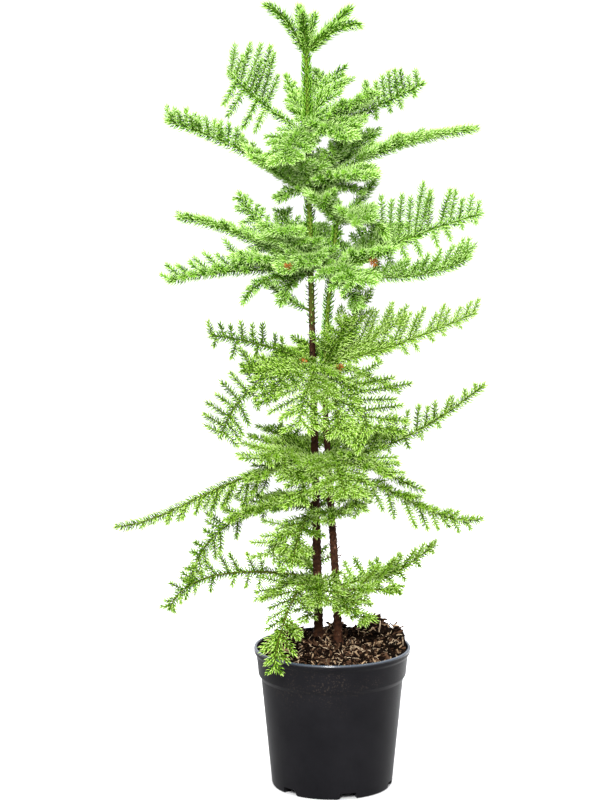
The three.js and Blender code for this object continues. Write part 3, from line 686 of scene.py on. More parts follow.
def bark_bit(x, y, length, rng):
    """One torn bit of bark: a flat block with uneven corners, lying on the compost."""
    width = length * rng.uniform(*BIT_WIDTH)
    half = np.array([length, width, length * rng.uniform(*BIT_THICKNESS)]) / 2
    corners = CUBE_CORNERS * half * rng.uniform(*BIT_RAGGEDNESS, CUBE_CORNERS.shape)
    tilt = unit(UP + rng.normal(0, BIT_TILT, 3))
    along = unit(np.cross(tilt, rng.normal(0, 1, 3)))
    corners = corners @ np.stack([along, np.cross(tilt, along), tilt])
    corners = corners + (x, y, soil_height(x, y) + half[2])
    outside = np.maximum(1, np.linalg.norm(corners[:, :2], axis=1) / SOIL_RADIUS)
    corners[:, :2] /= outside[:, None]
    return corners, CUBE_FACES


def strew_bits(name, finish, count, sizes, seed):
    """One piece of many bark bits; sizes are the shortest and longest."""
    rng = np.random.default_rng(seed)
    bits = [bark_bit(x, y, rng.uniform(*sizes), rng) for x, y in strewn_places(count, rng)]
    return add_shape(name, joined(bits), finish, [], smooth=False)


for name, finish, count, sizes, seed in (
    ("dark_bark_bits", DARK_BARK_BIT, 900, (6, 20), 11),
    ("red_brown_bark_bits", RED_BARK_BIT, 600, (6, 18), 12),
    ("pale_bark_bits", PALE_BARK_BIT, 310, (5, 15), 13),
):
    print("bark bits:", name, len(strew_bits(name, finish, count, sizes, seed).data.polygons), "faces")

# %% Coir fibres
FIBRES = 190
FIBRE_POINTS = 9
FIBRE_SIDES = 4
FIBRE_BEND = 1.4
FIBRE_RUN = (8, 34)
FIBRE_HOP = (0.5, 3.5)  # how high a fibre arches
FIBRE_RADIUS = (0.3, 0.62)
FIBRE_TAPER = 0.6
FIBRE_SEED = 14


def coir_fibre(x, y, rng):
    """One stiff fibre that lies over the lumps in a loose curve."""
    step = rng.uniform(*FIBRE_RUN) / FIBRE_POINTS
    turn = rng.uniform(0, 2 * math.pi)
    bend = rng.normal(0, FIBRE_BEND) / FIBRE_POINTS
    hop = rng.uniform(*FIBRE_HOP)
    points = []
    for k in range(FIBRE_POINTS):
        arch = math.sin(math.pi * k / (FIBRE_POINTS - 1))
        inside = min(1, STREWN_RADIUS / max(1, math.hypot(x, y)))
        points.append((x * inside, y * inside, soil_height(x * inside, y * inside) + hop * arch))
        x += step * math.cos(turn)
        y += step * math.sin(turn)
        turn += bend
    radii = rng.uniform(*FIBRE_RADIUS) * np.linspace(1, FIBRE_TAPER, FIBRE_POINTS)
    return tube(np.array(points), radii, FIBRE_SIDES)


def make_fibres():
    """All fibres as one piece."""
    rng = np.random.default_rng(FIBRE_SEED)
    fibres = [coir_fibre(x, y, rng) for x, y in strewn_places(FIBRES, rng)]
    return add_shape("coir_fibres", joined(fibres), FIBRE, [])


print("fibre faces:", len(make_fibres().data.polygons))

# %% [markdown]
# ## The growth rule
#
# A young Norfolk Island pine puts out a whorl of fronds each season. The rib of a frond is one curve from
# the stem to its tip, and side twigs leave it left and right, shorter towards the tip. Modelling each twig
# by hand would take weeks, so all this is one rule, fed by a seeded stream of random numbers. It is the
# rule of the solid model, with the same table and the same seeds, so every coarse twig of the solids has
# its fine twig here. Between those, a second pass of the same rule adds the twigs that the solids leave
# out.

# %% Seeded random numbers
WORD = 0xFFFFFFFF
STRIDE = 0x6D2B79F5  # from one state of the stream to the next


def seeded_stream(seed):
    """Draws numbers between nought and one, the same on every run."""
    state = seed

    def draw():
        nonlocal state
        state = (state + STRIDE) & WORD
        mixed = ((state ^ (state >> 15)) * (1 | state)) & WORD
        stirred = ((mixed ^ (mixed >> 7)) * (61 | mixed)) & WORD
        mixed = ((mixed + stirred) & WORD) ^ mixed
        return (mixed ^ (mixed >> 14)) / (WORD + 1)

    return draw


FIRST_SEED = 100
first_draw = seeded_stream(FIRST_SEED + 1)
print("first draws:", [round(first_draw(), 4) for _ in range(3)])

# %% Rows of the table
HABIT = {"taper": 0.6, "roll": 0, "perk": 10, "lean": 66, "bare": 0.15, "drop": 0, "hang": 0.4}


def frond(side, azimuth, reach, rise, lift, finish, spread, **habit):
    """One frond: where it points, how far it runs and climbs, its slopes, and its longest side twigs."""
    place = {"side": side, "azimuth": azimuth, "reach": reach, "rise": rise}
    slopes = {"lift": lift, "finish": finish, "spread": spread}
    return {**place, **slopes, **HABIT, **habit}


def whorl(stem, tier, height, fronds):
    """One tier: the fronds that leave a stem at one height."""
    return {"stem": stem, "tier": tier, "height": height, "fronds": fronds}


print("a usual frond:", HABIT)

# %% Fronds of the upper tiers
WHORLS = [
    whorl(TALL, 2, 874, [
        frond("left", 160, 107, 75, 28, 42, 60, taper=0.35, roll=85, perk=5, lean=88, bare=0.45, hang=0.7),
        frond("back_left", 112, 72, 66, 35, 45, 16, drop=4),
        frond("back_right", 72, 85, 66, 48, 34, 50, taper=0.3),
        frond("right", 12, 151, 63, 20, 30, 38, taper=0.5, roll=70, lean=96, bare=0.45),
        frond("front_right", 322, 99, 54, 34, 28, 36, taper=0.5, lean=52),
        frond("front", 255, 120, -25, 15, -30, 42, taper=0.4, perk=0),
    ]),
    whorl(TALL, 3, 799, [
        frond("left", 175, 183, 89, 36, 15, 24, taper=0.15, perk=60, lean=84, bare=0.4),
        frond("right", 5, 218, 79, 38, 6, 38, taper=0.8, perk=20, lean=48, bare=0.25),
        frond("front_left", 222, 85, 45, 28, 20, 42, taper=0.5, perk=15),
        frond("front_right", 310, 110, 25, 25, -5, 44, taper=0.4),
        frond("back_right", 50, 130, 68, 36, 15, 46, taper=0.5),
        frond("back_left", 125, 105, 34, 28, 5, 44, taper=0.5),
    ]),
    whorl(TALL, 4, 693, [
        frond("left_upper", 165, 178, 62, 26, 6, 26, taper=0.5, perk=25, lean=50, bare=0.25, drop=3),
        frond(
            "left_lower", 196, 189, -4, 8, -12, 42,
            taper=0.5, roll=15, perk=35, lean=68, bare=0.25, drop=-3,
        ),
        frond("back_left", 135, 133, 92, 18, 52, 44, taper=0.8, roll=20, perk=0, lean=62, bare=0.2),
        frond("front_left", 215, 104, -30, 10, -65, 15, taper=0.4, roll=20, perk=0, bare=0.3, drop=-6),
        frond("front", 246, 95, 58, 40, 15, 52, taper=0.4, perk=0, drop=6),
        frond("back", 88, 150, 40, 25, 5, 50),
    ]),
    whorl(SHORT, 4, 694, [
        frond("right", 10, 197, 68, 22, 14, 78, taper=0.75, roll=75, lean=78, bare=0.2, drop=3),
        frond(
            "right_lower", 345, 182, 28, -6, 34, 27,
            taper=0, roll=20, perk=55, lean=62, bare=0.2, drop=-3,
        ),
        frond("front", 283, 115, 0, 25, -25, 58, taper=0.4, perk=0),
        frond("back_right", 52, 150, 45, 25, 10, 50),
    ]),
]
print("upper fronds:", sum(len(tier["fronds"]) for tier in WHORLS))

# %% Fronds of the lower tiers
WHORLS += [
    whorl(TALL, 5, 570, [
        frond("left", 170, 133, 32, 24, 6, 23, taper=0.2, roll=80, lean=88, bare=0.2, hang=1),
        frond(
            "front_left", 214, 141, -86, 10, -70, 42,
            taper=0.3, roll=60, perk=0, lean=108, bare=0.3, hang=0.8,
        ),
        frond("back", 100, 150, -15, 10, -10, 52),
    ]),
    whorl(SHORT, 5, 571, [
        frond("right", 10, 199, 63, 10, 24, 42, taper=0.5, roll=78, lean=58, bare=0.08, hang=0.4),
        frond("front_right", 300, 110, -75, -10, -55, 76, taper=0.35, roll=-35, lean=70, bare=0.32),
        frond("front", 252, 110, -62, 10, -60, 58, taper=0.4, perk=0),
        frond("back_right", 58, 150, 0, 12, -8, 52),
    ]),
    whorl(TALL, 6, 440, [
        frond("left", 190, 262, -60, 26, -2, 60, taper=1.5, perk=-35, lean=55, bare=0.2, drop=-24, hang=1),
        frond("front_left", 232, 108, 14, 24, -20, 58, taper=0.4, roll=10, perk=0),
        frond("back_left", 130, 92, 26, 15, -10, 40, taper=0.5, perk=5),
    ]),
    whorl(SHORT, 6, 448, [
        frond("right", 15, 214, 83, -8, 36, 46, taper=1, roll=65, lean=76, bare=0.2, drop=2, hang=0.3),
        frond(
            "right_lower", 345, 203, -43, 12, 16, 54,
            taper=0.9, roll=35, perk=-5, lean=64, bare=0.2, drop=-32, hang=1,
        ),
        frond("front", 280, 120, -30, 18, -35, 60, taper=0.4, perk=0),
        frond("back", 78, 150, 5, 15, -10, 52),
    ]),
    whorl(TALL, 7, 372, [
        frond(
            "left", 175, 163, -108, 18, -84, 34,
            taper=0.4, roll=50, perk=0, lean=80, bare=0.25, drop=4, hang=0.8,
        ),
        frond("front_left", 225, 90, -30, 10, -30, 50, taper=0.4, roll=10, perk=0, drop=-20),
        frond("back_right", 65, 140, -10, 10, -15, 52),
    ]),
    whorl(TALL, 8, 276, [
        frond("left", 185, 192, -40, 12, -72, 30, taper=0.4, roll=60, lean=76, bare=0.14, hang=0.6),
        frond("front_left", 247, 140, -92, 20, -82, 54, taper=0.6, perk=0),
        frond("back", 105, 140, 0, 15, -15, 52),
    ]),
    whorl(SHORT, 8, 264, [
        frond("right", 15, 133, 55, -4, 36, 54, taper=0.8, roll=45, perk=0, lean=62, bare=0.1, hang=0.6),
        frond("front_right", 300, 72, -30, 0, -35, 32, taper=0.5, perk=0),
        frond("back_right", 48, 120, 10, 10, -5, 48),
    ]),
]
print("fronds:", sum(len(tier["fronds"]) for tier in WHORLS))

# %% Lesser fronds of the upper tiers
# Between its main fronds a whorl has lesser ones, inside the same reach. They make the middle full.
LESSER = [
    whorl(TALL, 2, 874, [
        frond("front_middle", 296, 104, 2, 28, -18, 42, taper=0.4),
    ]),
    whorl(TALL, 3, 799, [
        frond("front", 262, 80, 44, 44, 14, 40),
        frond("side_right", 335, 85, 30, 30, 5, 40),
        frond("side_left", 195, 80, 56, 34, 30, 34),
        frond("front_upright", 325, 76, 96, 60, 46, 42),
        frond("low_left", 210, 42, -12, 5, -40, 26),
        frond("low_right", 335, 74, 0, 12, -25, 28),
        frond("back", 92, 110, 30, 30, 0, 44),
    ]),
    whorl(TALL, 4, 693, [
        frond("front_middle", 268, 100, 22, 30, -15, 50),
        frond("side_left", 208, 105, 18, 20, -5, 44),
        frond("rear_left", 115, 120, 40, 25, 10, 46),
        frond("rear_upright", 120, 70, 72, 45, 40, 36),
        frond("front_hanging", 222, 50, -42, -8, -66, 26),
    ]),
    whorl(TALL, 4, 640, [
        frond("inner_left", 172, 60, 40, 20, 42, 14),
    ]),
    whorl(SHORT, 4, 694, [
        frond("right_hanging", 300, 62, -42, 0, -60, 32),
        frond("front_right", 318, 100, 34, 28, 8, 40),
        frond("side_right", 28, 120, 35, 22, 5, 46),
        frond("front_left", 235, 95, 10, 25, -20, 48),
    ]),
]
print("upper lesser fronds:", sum(len(tier["fronds"]) for tier in LESSER))

# %% Lesser fronds of the lower tiers
LESSER += [
    whorl(TALL, 5, 570, [
        frond("front_middle", 238, 105, -35, 15, -40, 52),
        frond("rear_left", 138, 110, -25, 5, -20, 46),
    ]),
    whorl(SHORT, 5, 571, [
        frond("front_low", 280, 100, -78, -5, -65, 54),
        frond("side_right", 345, 96, -34, -10, -26, 14),
        frond("right_fan", 12, 105, 60, 26, 34, 48, taper=0.6, roll=75, lean=50),
        frond("right_upright", 35, 62, 88, 50, 50, 52),
        frond("front_upright", 305, 48, 64, 55, 40, 46),
        frond("rear", 95, 120, 0, 12, -15, 48),
    ]),
    whorl(TALL, 6, 440, [
        frond("front", 258, 110, -10, 20, -30, 56),
        frond("side_left", 214, 95, -18, 14, -25, 44),
        frond("left_upper", 192, 84, 34, 28, 20, 24),
        frond("rear", 100, 120, 0, 12, -15, 48),
    ]),
    whorl(SHORT, 6, 448, [
        frond("front_right", 312, 115, -10, 12, -20, 54),
        frond("front_left", 248, 100, -45, 5, -50, 52),
        frond("front_low", 298, 82, -62, -5, -60, 44),
        frond("right_middle", 350, 125, -44, 0, -18, 22),
        frond("rear_right", 45, 130, 10, 12, -5, 48),
    ]),
    whorl(TALL, 7, 372, [
        frond("front", 252, 100, -58, 5, -55, 50),
        frond("side_left", 195, 115, -12, 14, -30, 46),
        frond("rear", 120, 120, -10, 10, -20, 48),
    ]),
    whorl(SHORT, 7, 372, [
        frond("right", 335, 45, 12, 20, 0, 34),
        frond("front", 270, 60, 0, 15, -20, 38),
    ]),
    whorl(TALL, 8, 276, [
        frond("front", 272, 92, -12, 12, -25, 48),
        frond("side_left", 215, 85, -18, 12, -35, 40),
        frond("front_low", 258, 62, -44, 0, -50, 34),
    ]),
    whorl(SHORT, 8, 264, [
        frond("front", 280, 75, -12, 8, -25, 42),
        frond("side_right", 340, 85, 5, 6, -5, 40),
    ]),
]
print("lesser fronds:", sum(len(tier["fronds"]) for tier in LESSER))

# %% Young shoots at the tips
SHOOT_HABIT = {"taper": 0.5, "perk": 25, "lean": 55, "bare": 0.3}
TUFTS = [
    (TALL, [
        (190, 54, 64, 62, 20, 0),
        (110, 26, 60, 70, 75, 0),
        (20, 62, 58, 45, 45, 0),
        (340, 74, 35, 42, -20, 0),
        (70, 34, 46, 60, 40, 0),
        (260, 30, 50, 60, 40, 0),
    ]),
    (SHORT, [
        (20, 55, 62, 40, 55, 0),
        (352, 66, -18, 62, -78, 0),
        (240, 52, 34, 40, 20, 36),
        (292, 74, 8, 30, -20, 44),
        (120, 60, 44, 40, 30, 32),
    ]),
]
print("young shoots:", sum(len(shoots) for _, shoots in TUFTS))

# %% [markdown]
# ## Ribs and their twigs
#
# A rib leaves the stem stiffly and bows under its own weight, and the soft twigs on its lower side hang.
# Each rib could be drawn as a curve object and posed by hand, but its reach, its rise and its slopes at
# both ends say all of it, so a rib is a cubic curve worked out from its row of the table. A twig is a
# shorter curve with one bend that starts on the rib.

# %% Curve of a rib
RIB_FOOT_RADIUS = 1.1
RIB_STOUTENING = 1 / 220


def rib_radius(habit):
    """Thickness of a rib at the stem, from its middle."""
    return RIB_FOOT_RADIUS + RIB_STOUTENING * habit["reach"]


def outward(habit):
    """Level direction in which a frond points."""
    azimuth = math.radians(habit["azimuth"])
    return np.array([math.cos(azimuth), math.sin(azimuth), 0])


def rib_from(root, habit):
    """Four handles of the curve from a root on the stem to the frond's tip."""
    out = outward(habit)

    def sloped(degrees):
        return out * math.cos(math.radians(degrees)) + UP * math.sin(math.radians(degrees))

    tip = root + out * habit["reach"] + UP * habit["rise"]
    handle = math.hypot(habit["reach"], habit["rise"]) / 3
    start = sloped(habit["lift"]) * handle
    end = sloped(habit["finish"]) * handle
    return np.array([root, root + start, tip - end, tip])


def rib_point(rib, station):
    """Points of a rib at one station or many, from nought at the stem to one at the tip."""
    t = np.asarray(station, float)[..., None]
    near_stem = (1 - t) ** 3 * rib[0] + 3 * (1 - t) ** 2 * t * rib[1]
    return near_stem + 3 * (1 - t) * t**2 * rib[2] + t**3 * rib[3]


def rib_heading(rib, station):
    """Direction of a rib at a station."""
    t = station
    first, second, third = np.diff(rib, axis=0)
    return unit((1 - t) ** 2 * first + 2 * (1 - t) * t * second + t**2 * third)


thickest = max(rib_radius(habit) for tier in WHORLS for habit in tier["fronds"])
print("thickest rib:", round(2 * thickest, 1), "mm")

# %% Rib of a frond
RIB_SAMPLES = 201


def run_of(points):
    """Length of a line of points."""
    return np.linalg.norm(np.diff(points, axis=0), axis=1).sum()


def rib_length(rib):
    """Length of a rib along its curve."""
    return run_of(rib_point(rib, np.linspace(0, 1, RIB_SAMPLES)))


def frond_rib(tier, habit):
    """Rib of a frond that leaves its tier's stem."""
    stem = tier["stem"]
    foot = stem_point(stem, tier["height"] + habit["drop"])
    slant = rib_radius(habit) * abs(math.sin(math.radians(habit["lift"])))
    stand_off = stem_radius(stem, foot[2]) + AIR + slant
    return rib_from(foot + stand_off * outward(habit), habit)


rib_lengths = [rib_length(frond_rib(tier, habit)) for tier in WHORLS for habit in tier["fronds"]]
print("longest rib:", round(max(rib_lengths)), "mm")

# %% Side twigs of a rib
TWIG_SPACING = 38
HAND_STAGGER = 0.25
PLACE_JITTER = 0.3
LEAN_EASE = 16
LEAN_JITTER = 14
TILT_JITTER = 22
LEAST_VIGOUR = 0.78
VIGOUR_RANGE = 0.44
FIRST_TWIG = 0.6
FULL_TWIG_AT = 0.25
TIP_LOSS = 0.9
FORWARD_CURL = 0.08
UPRIGHT_CURL = 0.15
TWIG_WEIGHT = 1.2  # how strongly a twig on the lower side hangs
LAST_TWIG = 0.985


def twig_reach(habit, share):
    """Length of the side twigs at a share of the needled rib."""
    swelling = min(1, blend(FIRST_TWIG, 1, share / FULL_TWIG_AT))
    return habit["spread"] * swelling * (1 - TIP_LOSS * share) ** habit["taper"]


def side_twigs(rib, habit, spacing, seed):
    """Side twigs of a rib, as the solid model grows them."""
    draw = seeded_stream(seed)
    bare = habit["bare"]
    count = max(2, math.floor(rib_length(rib) * (1 - bare) / spacing))
    roll = math.radians(habit["roll"])
    twigs = []
    for k in range(count):
        for hand in (-1, 1):
            along = (k + 0.5 + HAND_STAGGER * hand + PLACE_JITTER * (draw() - 0.5)) / count
            station = min(bare + (1 - bare) * along, LAST_TWIG)
            heading = rib_heading(rib, station)
            side = unit(np.cross(heading, UP))
            top = np.cross(side, heading)
            lean = math.radians(habit["lean"] - LEAN_EASE * station + LEAN_JITTER * (draw() - 0.5))
            tilt = math.radians(habit["perk"] + TILT_JITTER * (draw() - 0.5))
            row = side * math.cos(roll) + top * math.sin(roll)
            face = top * math.cos(roll) - side * math.sin(roll)
            across = row * hand * math.cos(tilt) + face * math.sin(tilt)
            hanging = max(0, -across[2])
            aim = unit(heading * math.cos(lean) + across * math.sin(lean) - UP * TWIG_WEIGHT * hanging)
            vigour = LEAST_VIGOUR + VIGOUR_RANGE * draw()
            reach = twig_reach(habit, (station - bare) / (1 - bare)) * vigour
            reach *= 1 - (1 - habit["hang"]) * hanging
            root = rib_point(rib, station)
            curl = heading * FORWARD_CURL + UP * UPRIGHT_CURL * across[2]
            bends = np.array([root, root + aim * reach / 2, root + (aim + curl) * reach])
            place = {"hand": hand, "station": station, "hanging": hanging}
            twigs.append({"bends": bends, "reach": reach, **place})
    return twigs


first_habit = WHORLS[0]["fronds"][0]
first_twigs = side_twigs(frond_rib(WHORLS[0], first_habit), first_habit, TWIG_SPACING, FIRST_SEED + 1)
print("source twigs on the first frond:", len(first_twigs))

# %% Finer twigs between them
FINE_SPACING = {1: 12, 2: 9, 3: 11.5, 4: 13, 5: 13, 6: 14.5, 7: 17, 8: 16}  # by tier, from the tip down
FINE_SEED = 5000
TWIG_ROOM = 6.5  # least room between the roots of two twigs of one row
HANGING_ROOM = 1.5  # extra share of that room between hanging twigs
LEAST_TWIG = 9


def all_twigs(rib, habit, tier, seed):
    """Twigs of the solid model, and finer ones wherever there is room for them on the rib."""
    length = rib_length(rib)
    grown = [twig for twig in side_twigs(rib, habit, TWIG_SPACING, seed) if twig["reach"] > LEAST_TWIG]
    for twig in side_twigs(rib, habit, FINE_SPACING[tier], seed + FINE_SEED):
        row = [other for other in grown if other["hand"] == twig["hand"]]
        room = TWIG_ROOM * (1 + HANGING_ROOM * twig["hanging"])
        clear = all(abs(other["station"] - twig["station"]) * length > room for other in row)
        if clear and twig["reach"] > LEAST_TWIG:
            grown.append(twig)
    return grown


finer_twigs = all_twigs(frond_rib(WHORLS[0], first_habit), first_habit, WHORLS[0]["tier"], FIRST_SEED + 1)
print("all twigs on the first frond:", len(finer_twigs))

# %% Withered sprigs
# frond, share of its rib and direction of each withered sprig
WITHERED_SPRIGS = [
    ("short_tier4_front_left", 0.88, (-0.5, -0.7, 0.3)),
    ("short_tier4_front_right", 0.65, (0.3, -0.7, -0.6)),
    ("short_tier5_front_right", 0.2, (0.3, -0.7, 0.6)),
    ("tall_tier5_front_middle", 0.2, (0.2, -0.9, 0.3)),
]
WITHERED_RUN = 16


def withered_sprigs(name, rib):
    """Short dead sprigs on one rib."""
    sprigs = []
    for frond_name, share, aim in WITHERED_SPRIGS:
        if frond_name == name:
            steps = np.array([[0.0], [0.5], [1.0]]) * WITHERED_RUN
            bends = rib_point(rib, share) + steps * unit(np.array(aim))
            sprigs.append({"bends": bends, "reach": WITHERED_RUN, "withered": True})
    return sprigs


print("withered sprigs:", len(WITHERED_SPRIGS))

# %% Grow every frond
LESSER_SEED = 1000
STUB_HEIGHT = 12
# first and last share of the stub at which a shoot leaves it
SHOOT_SHARES = (0.35, 0.75)
TIP_TIER = 1


def grow_fronds(whorls, seed):
    """Every frond of some whorls, with its rib and its twigs."""
    grown = []
    for tier in whorls:
        for habit in tier["fronds"]:
            seed += 1
            rib = frond_rib(tier, habit)
            name = f"{tier['stem']['name']}_tier{tier['tier']}_{habit['side']}"
            twigs = all_twigs(rib, habit, tier["tier"], seed) + withered_sprigs(name, rib)
            grown.append(dict(name=name, tier=tier["tier"], habit=habit, rib=rib, twigs=twigs, seed=seed))
    return grown


def grow_tufts():
    """Young shoots that crown each stem, in the same form as the fronds."""
    grown = []
    for order, (stem, shoots) in enumerate(TUFTS):
        name = f"{stem['name']}_tip"
        base = stem["foot"][2] + stem["height"] + AIR
        for i, shoot in enumerate(shoots):
            habit = frond("tip", *shoot, **SHOOT_HABIT)
            share = blend(*SHOOT_SHARES, i / (len(shoots) - 1))
            rib = rib_from(stem_point(stem, base + STUB_HEIGHT * share), habit)
            seed = FIRST_SEED * (order + 2) + i
            twigs = all_twigs(rib, habit, TIP_TIER, seed) if habit["spread"] else []
            grown.append(dict(name=name, tier=TIP_TIER, habit=habit, rib=rib, twigs=twigs, seed=seed))
    return grown


FRONDS = grow_fronds(WHORLS, FIRST_SEED) + grow_fronds(LESSER, LESSER_SEED) + grow_tufts()
print("ribs:", len(FRONDS), "twigs:", sum(len(grown["twigs"]) for grown in FRONDS))

# %% [markdown]
# ## Bark
#
# Low on the stems the bark is dark brown and scaly, with pinkish flecks, because every fallen needle leaves
# a small cushion. Higher up the stem is still green. The cushions could be a bump, but they show at the
# stem's edge. They sit in two crossing spirals, so two waves that run round the stem in opposite senses
# give them: where both crest, the bark stands out. That is real relief in the mesh, and finer roughness is
# left to the grain in the finish.

# %% Finishes of stems, boughs and twigs
STEM_GREEN = (0.11, 0.15, 0.018)
BOUGH_GREEN = (0.06, 0.10, 0.012)
YOUNG_SHADE = 0.6


def make_bark_finish(name, dark, light, fleck, amount, green, turning):
    """Scaly bark with some amount of flecks, turning green between two heights in millimetres."""
    finish, tree, shader = start_finish(
        name, grain_scale=1100.0, smoothest=0.6, roughest=0.9, dent=0.3, gloss=0.06
    )
    flecks = place_effect(tree, FLECKS, Scale=330.0, Amount=amount, Drift=60.0)
    scaly = add_mix(tree, flecks["Mask"], add_patches(tree, dark, light, 210.0), opaque(*fleck))
    young = add_patches(tree, [tone * YOUNG_SHADE for tone in green], green, 180.0)
    tree.links.new(add_mix(tree, add_height(tree, *turning), scaly, young), shader.inputs["Base Color"])
    return finish


TALL_BARK = make_bark_finish(
    "tall_stem_bark", dark=(0.005, 0.0021, 0.0011), light=(0.034, 0.013, 0.0055),
    fleck=(0.13, 0.068, 0.042), amount=0.9, green=STEM_GREEN, turning=(610, 720),
)
SHORT_BARK = make_bark_finish(
    "short_stem_bark", dark=(0.006, 0.0023, 0.0013), light=(0.044, 0.0165, 0.0076),
    fleck=(0.17, 0.088, 0.060), amount=1.0, green=STEM_GREEN, turning=(500, 600),
)
GREEN_BARK = make_bark_finish(
    "green_bough_bark", dark=(0.035, 0.034, 0.006), light=(0.075, 0.075, 0.012),
    fleck=(0.10, 0.055, 0.02), amount=0.5, green=BOUGH_GREEN, turning=(240, 620),
)
print("bark finishes:", TALL_BARK.name, SHORT_BARK.name, GREEN_BARK.name)

# %% Stems with cushioned bark
STEM_SIDES = 26
STEM_STEP = 1.8
FLARE_RADIUS = 2.6
FLARE_HEIGHT = 14
PLANTED = 1.5  # how far the mesh goes on below the soil's surface
CUSHION_DEPTH = 1.1
CUSHION_RUN = 2.3  # height of one cushion
CUSHION_ROUNDING = 0.7
LEFT_SPIRALS = 5
RIGHT_SPIRALS = 8
BARK_LUMP = 5
BARK_LUMP_DEPTH = 0.7
BARK_LUMP_STRETCH = 2  # lumps are longer up the stem


def cushions(turn, height):
    """Crossing spirals of needle cushions, from nought in the furrows to one on the crests."""
    left = np.cos(LEFT_SPIRALS * turn + height / CUSHION_RUN)
    right = np.cos(RIGHT_SPIRALS * turn - height / CUSHION_RUN)
    return np.maximum(0, left * right) ** CUSHION_ROUNDING


def make_stem(stem, finish):
    """One stem from its flared foot to the growing tip that carries the young shoots."""
    foot, top = stem["foot"][2], stem["foot"][2] + stem["height"] + STUB_HEIGHT
    heights = np.linspace(foot - PLANTED, top, round((top - foot) / STEM_STEP))
    points = np.array([stem_point(stem, height) for height in heights])
    turn = ring_turns(STEM_SIDES)
    flare = FLARE_RADIUS * np.clip(1 - (heights - foot) / FLARE_HEIGHT, 0, 1) ** 2
    smooth = np.array([stem_radius(stem, height) for height in heights]) + flare
    relief = CUSHION_DEPTH * cushions(turn[None], heights[:, None])
    circle = np.stack([np.cos(turn), np.sin(turn)], axis=-1)
    for i, (point, height) in enumerate(zip(points, heights)):
        for k, (x, y) in enumerate(circle * smooth[i]):
            place = Vector((point[0] + x, point[1] + y, height / BARK_LUMP_STRETCH)) / BARK_LUMP
            relief[i, k] += BARK_LUMP_DEPTH * noise.noise(place)
    relief *= (smooth / stem["radii"][0])[:, None]
    shape = tube(points, smooth[:, None] - CUSHION_DEPTH / 2 + relief, STEM_SIDES)
    return add_shape(f"{stem['name']}_stem_bark", shape, finish, [f"{stem['name']}_stem"])


for stem, finish in ((TALL, TALL_BARK), (SHORT, SHORT_BARK)):
    print("stem faces:", len(make_stem(stem, finish).data.polygons))

# %% [markdown]
# ## Boughs and twigs
#
# Each frond hangs on a bough no thicker than a pencil lead, swollen where it leaves the stem, and its twigs
# are thinner still. Curve objects with a round bevel could draw them, but the same tube helper also carries
# the bark's cushions, and joined meshes keep the scene down to two pieces.

# %% Boughs and ribs
RIB_TIP_RADIUS = 0.8
BOUGH_SIDES = 6
LEAST_RINGS = 8
RIB_POINTS = 60
BOUGH_STEP = 5
COLLAR_SWELL = 0.7  # extra thickness where a bough leaves its stem
COLLAR_RUN = 7
BOUGH_CUSHION = 0.22


def rib_line(rib):
    """Points along a rib."""
    return rib_point(rib, np.linspace(0, 1, RIB_POINTS))


def run_along(points):
    """Distance travelled at each point of a line."""
    return np.concatenate([[0], np.cumsum(np.linalg.norm(np.diff(points, axis=0), axis=1))])


def bough_shape(grown):
    """Rib of a frond as a cushioned limb that grows out of the stem."""
    rib = grown["rib"]
    stations = np.linspace(0, 1, max(LEAST_RINGS, round(run_of(rib_line(rib)) / BOUGH_STEP)))
    points = rib_point(rib, stations)
    inside = points[0] - rib_heading(rib, 0.0) * rib_radius(grown["habit"]) * 2
    points = np.concatenate([[inside], points])
    run = run_along(points)
    smooth = np.interp(run / run[-1], [0, 1], [rib_radius(grown["habit"]), RIB_TIP_RADIUS])
    smooth = smooth * (1 + COLLAR_SWELL * np.exp(-run / COLLAR_RUN))
    turn = ring_turns(BOUGH_SIDES)
    relief = BOUGH_CUSHION * cushions(turn[None], run[:, None])
    return tube(points, smooth[:, None] + relief, BOUGH_SIDES)


BOUGH_NODES = sorted(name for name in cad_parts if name.endswith("_bough"))
bough_shapes = [bough_shape(grown) for grown in FRONDS]
boughs = add_shape("boughs", joined(bough_shapes), GREEN_BARK, BOUGH_NODES)
print("boughs stand for", len(BOUGH_NODES), "solids and have", len(boughs.data.polygons), "faces")

# %% Twigs
TWIG_SIDES = 4
TWIG_STEP = 10
TWIG_ROOT_RADIUS = 0.95
TWIG_TIP_RADIUS = 0.6
LEAST_POINTS = 4
FOLIAGE_NODES = sorted(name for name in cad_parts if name.endswith("_foliage"))


def twig_line(twig, step):
    """Points along a twig, evenly spaced."""
    t = np.linspace(0, 1, max(LEAST_POINTS, round(twig["reach"] / step)))[:, None]
    start, bend, tip = twig["bends"]
    return (1 - t) ** 2 * start + 2 * (1 - t) * t * bend + t**2 * tip


def twig_shape(twig):
    """One twig as a thin tapering tube."""
    points = twig_line(twig, TWIG_STEP)
    return tube(points, np.linspace(TWIG_ROOT_RADIUS, TWIG_TIP_RADIUS, len(points)), TWIG_SIDES)


twig_shapes = [twig_shape(twig) for grown in FRONDS for twig in grown["twigs"]]
twigs = add_shape("twigs", joined(twig_shapes), GREEN_BARK, FOLIAGE_NODES)
print("twigs:", len(twig_shapes), "with", len(twigs.data.polygons), "faces")
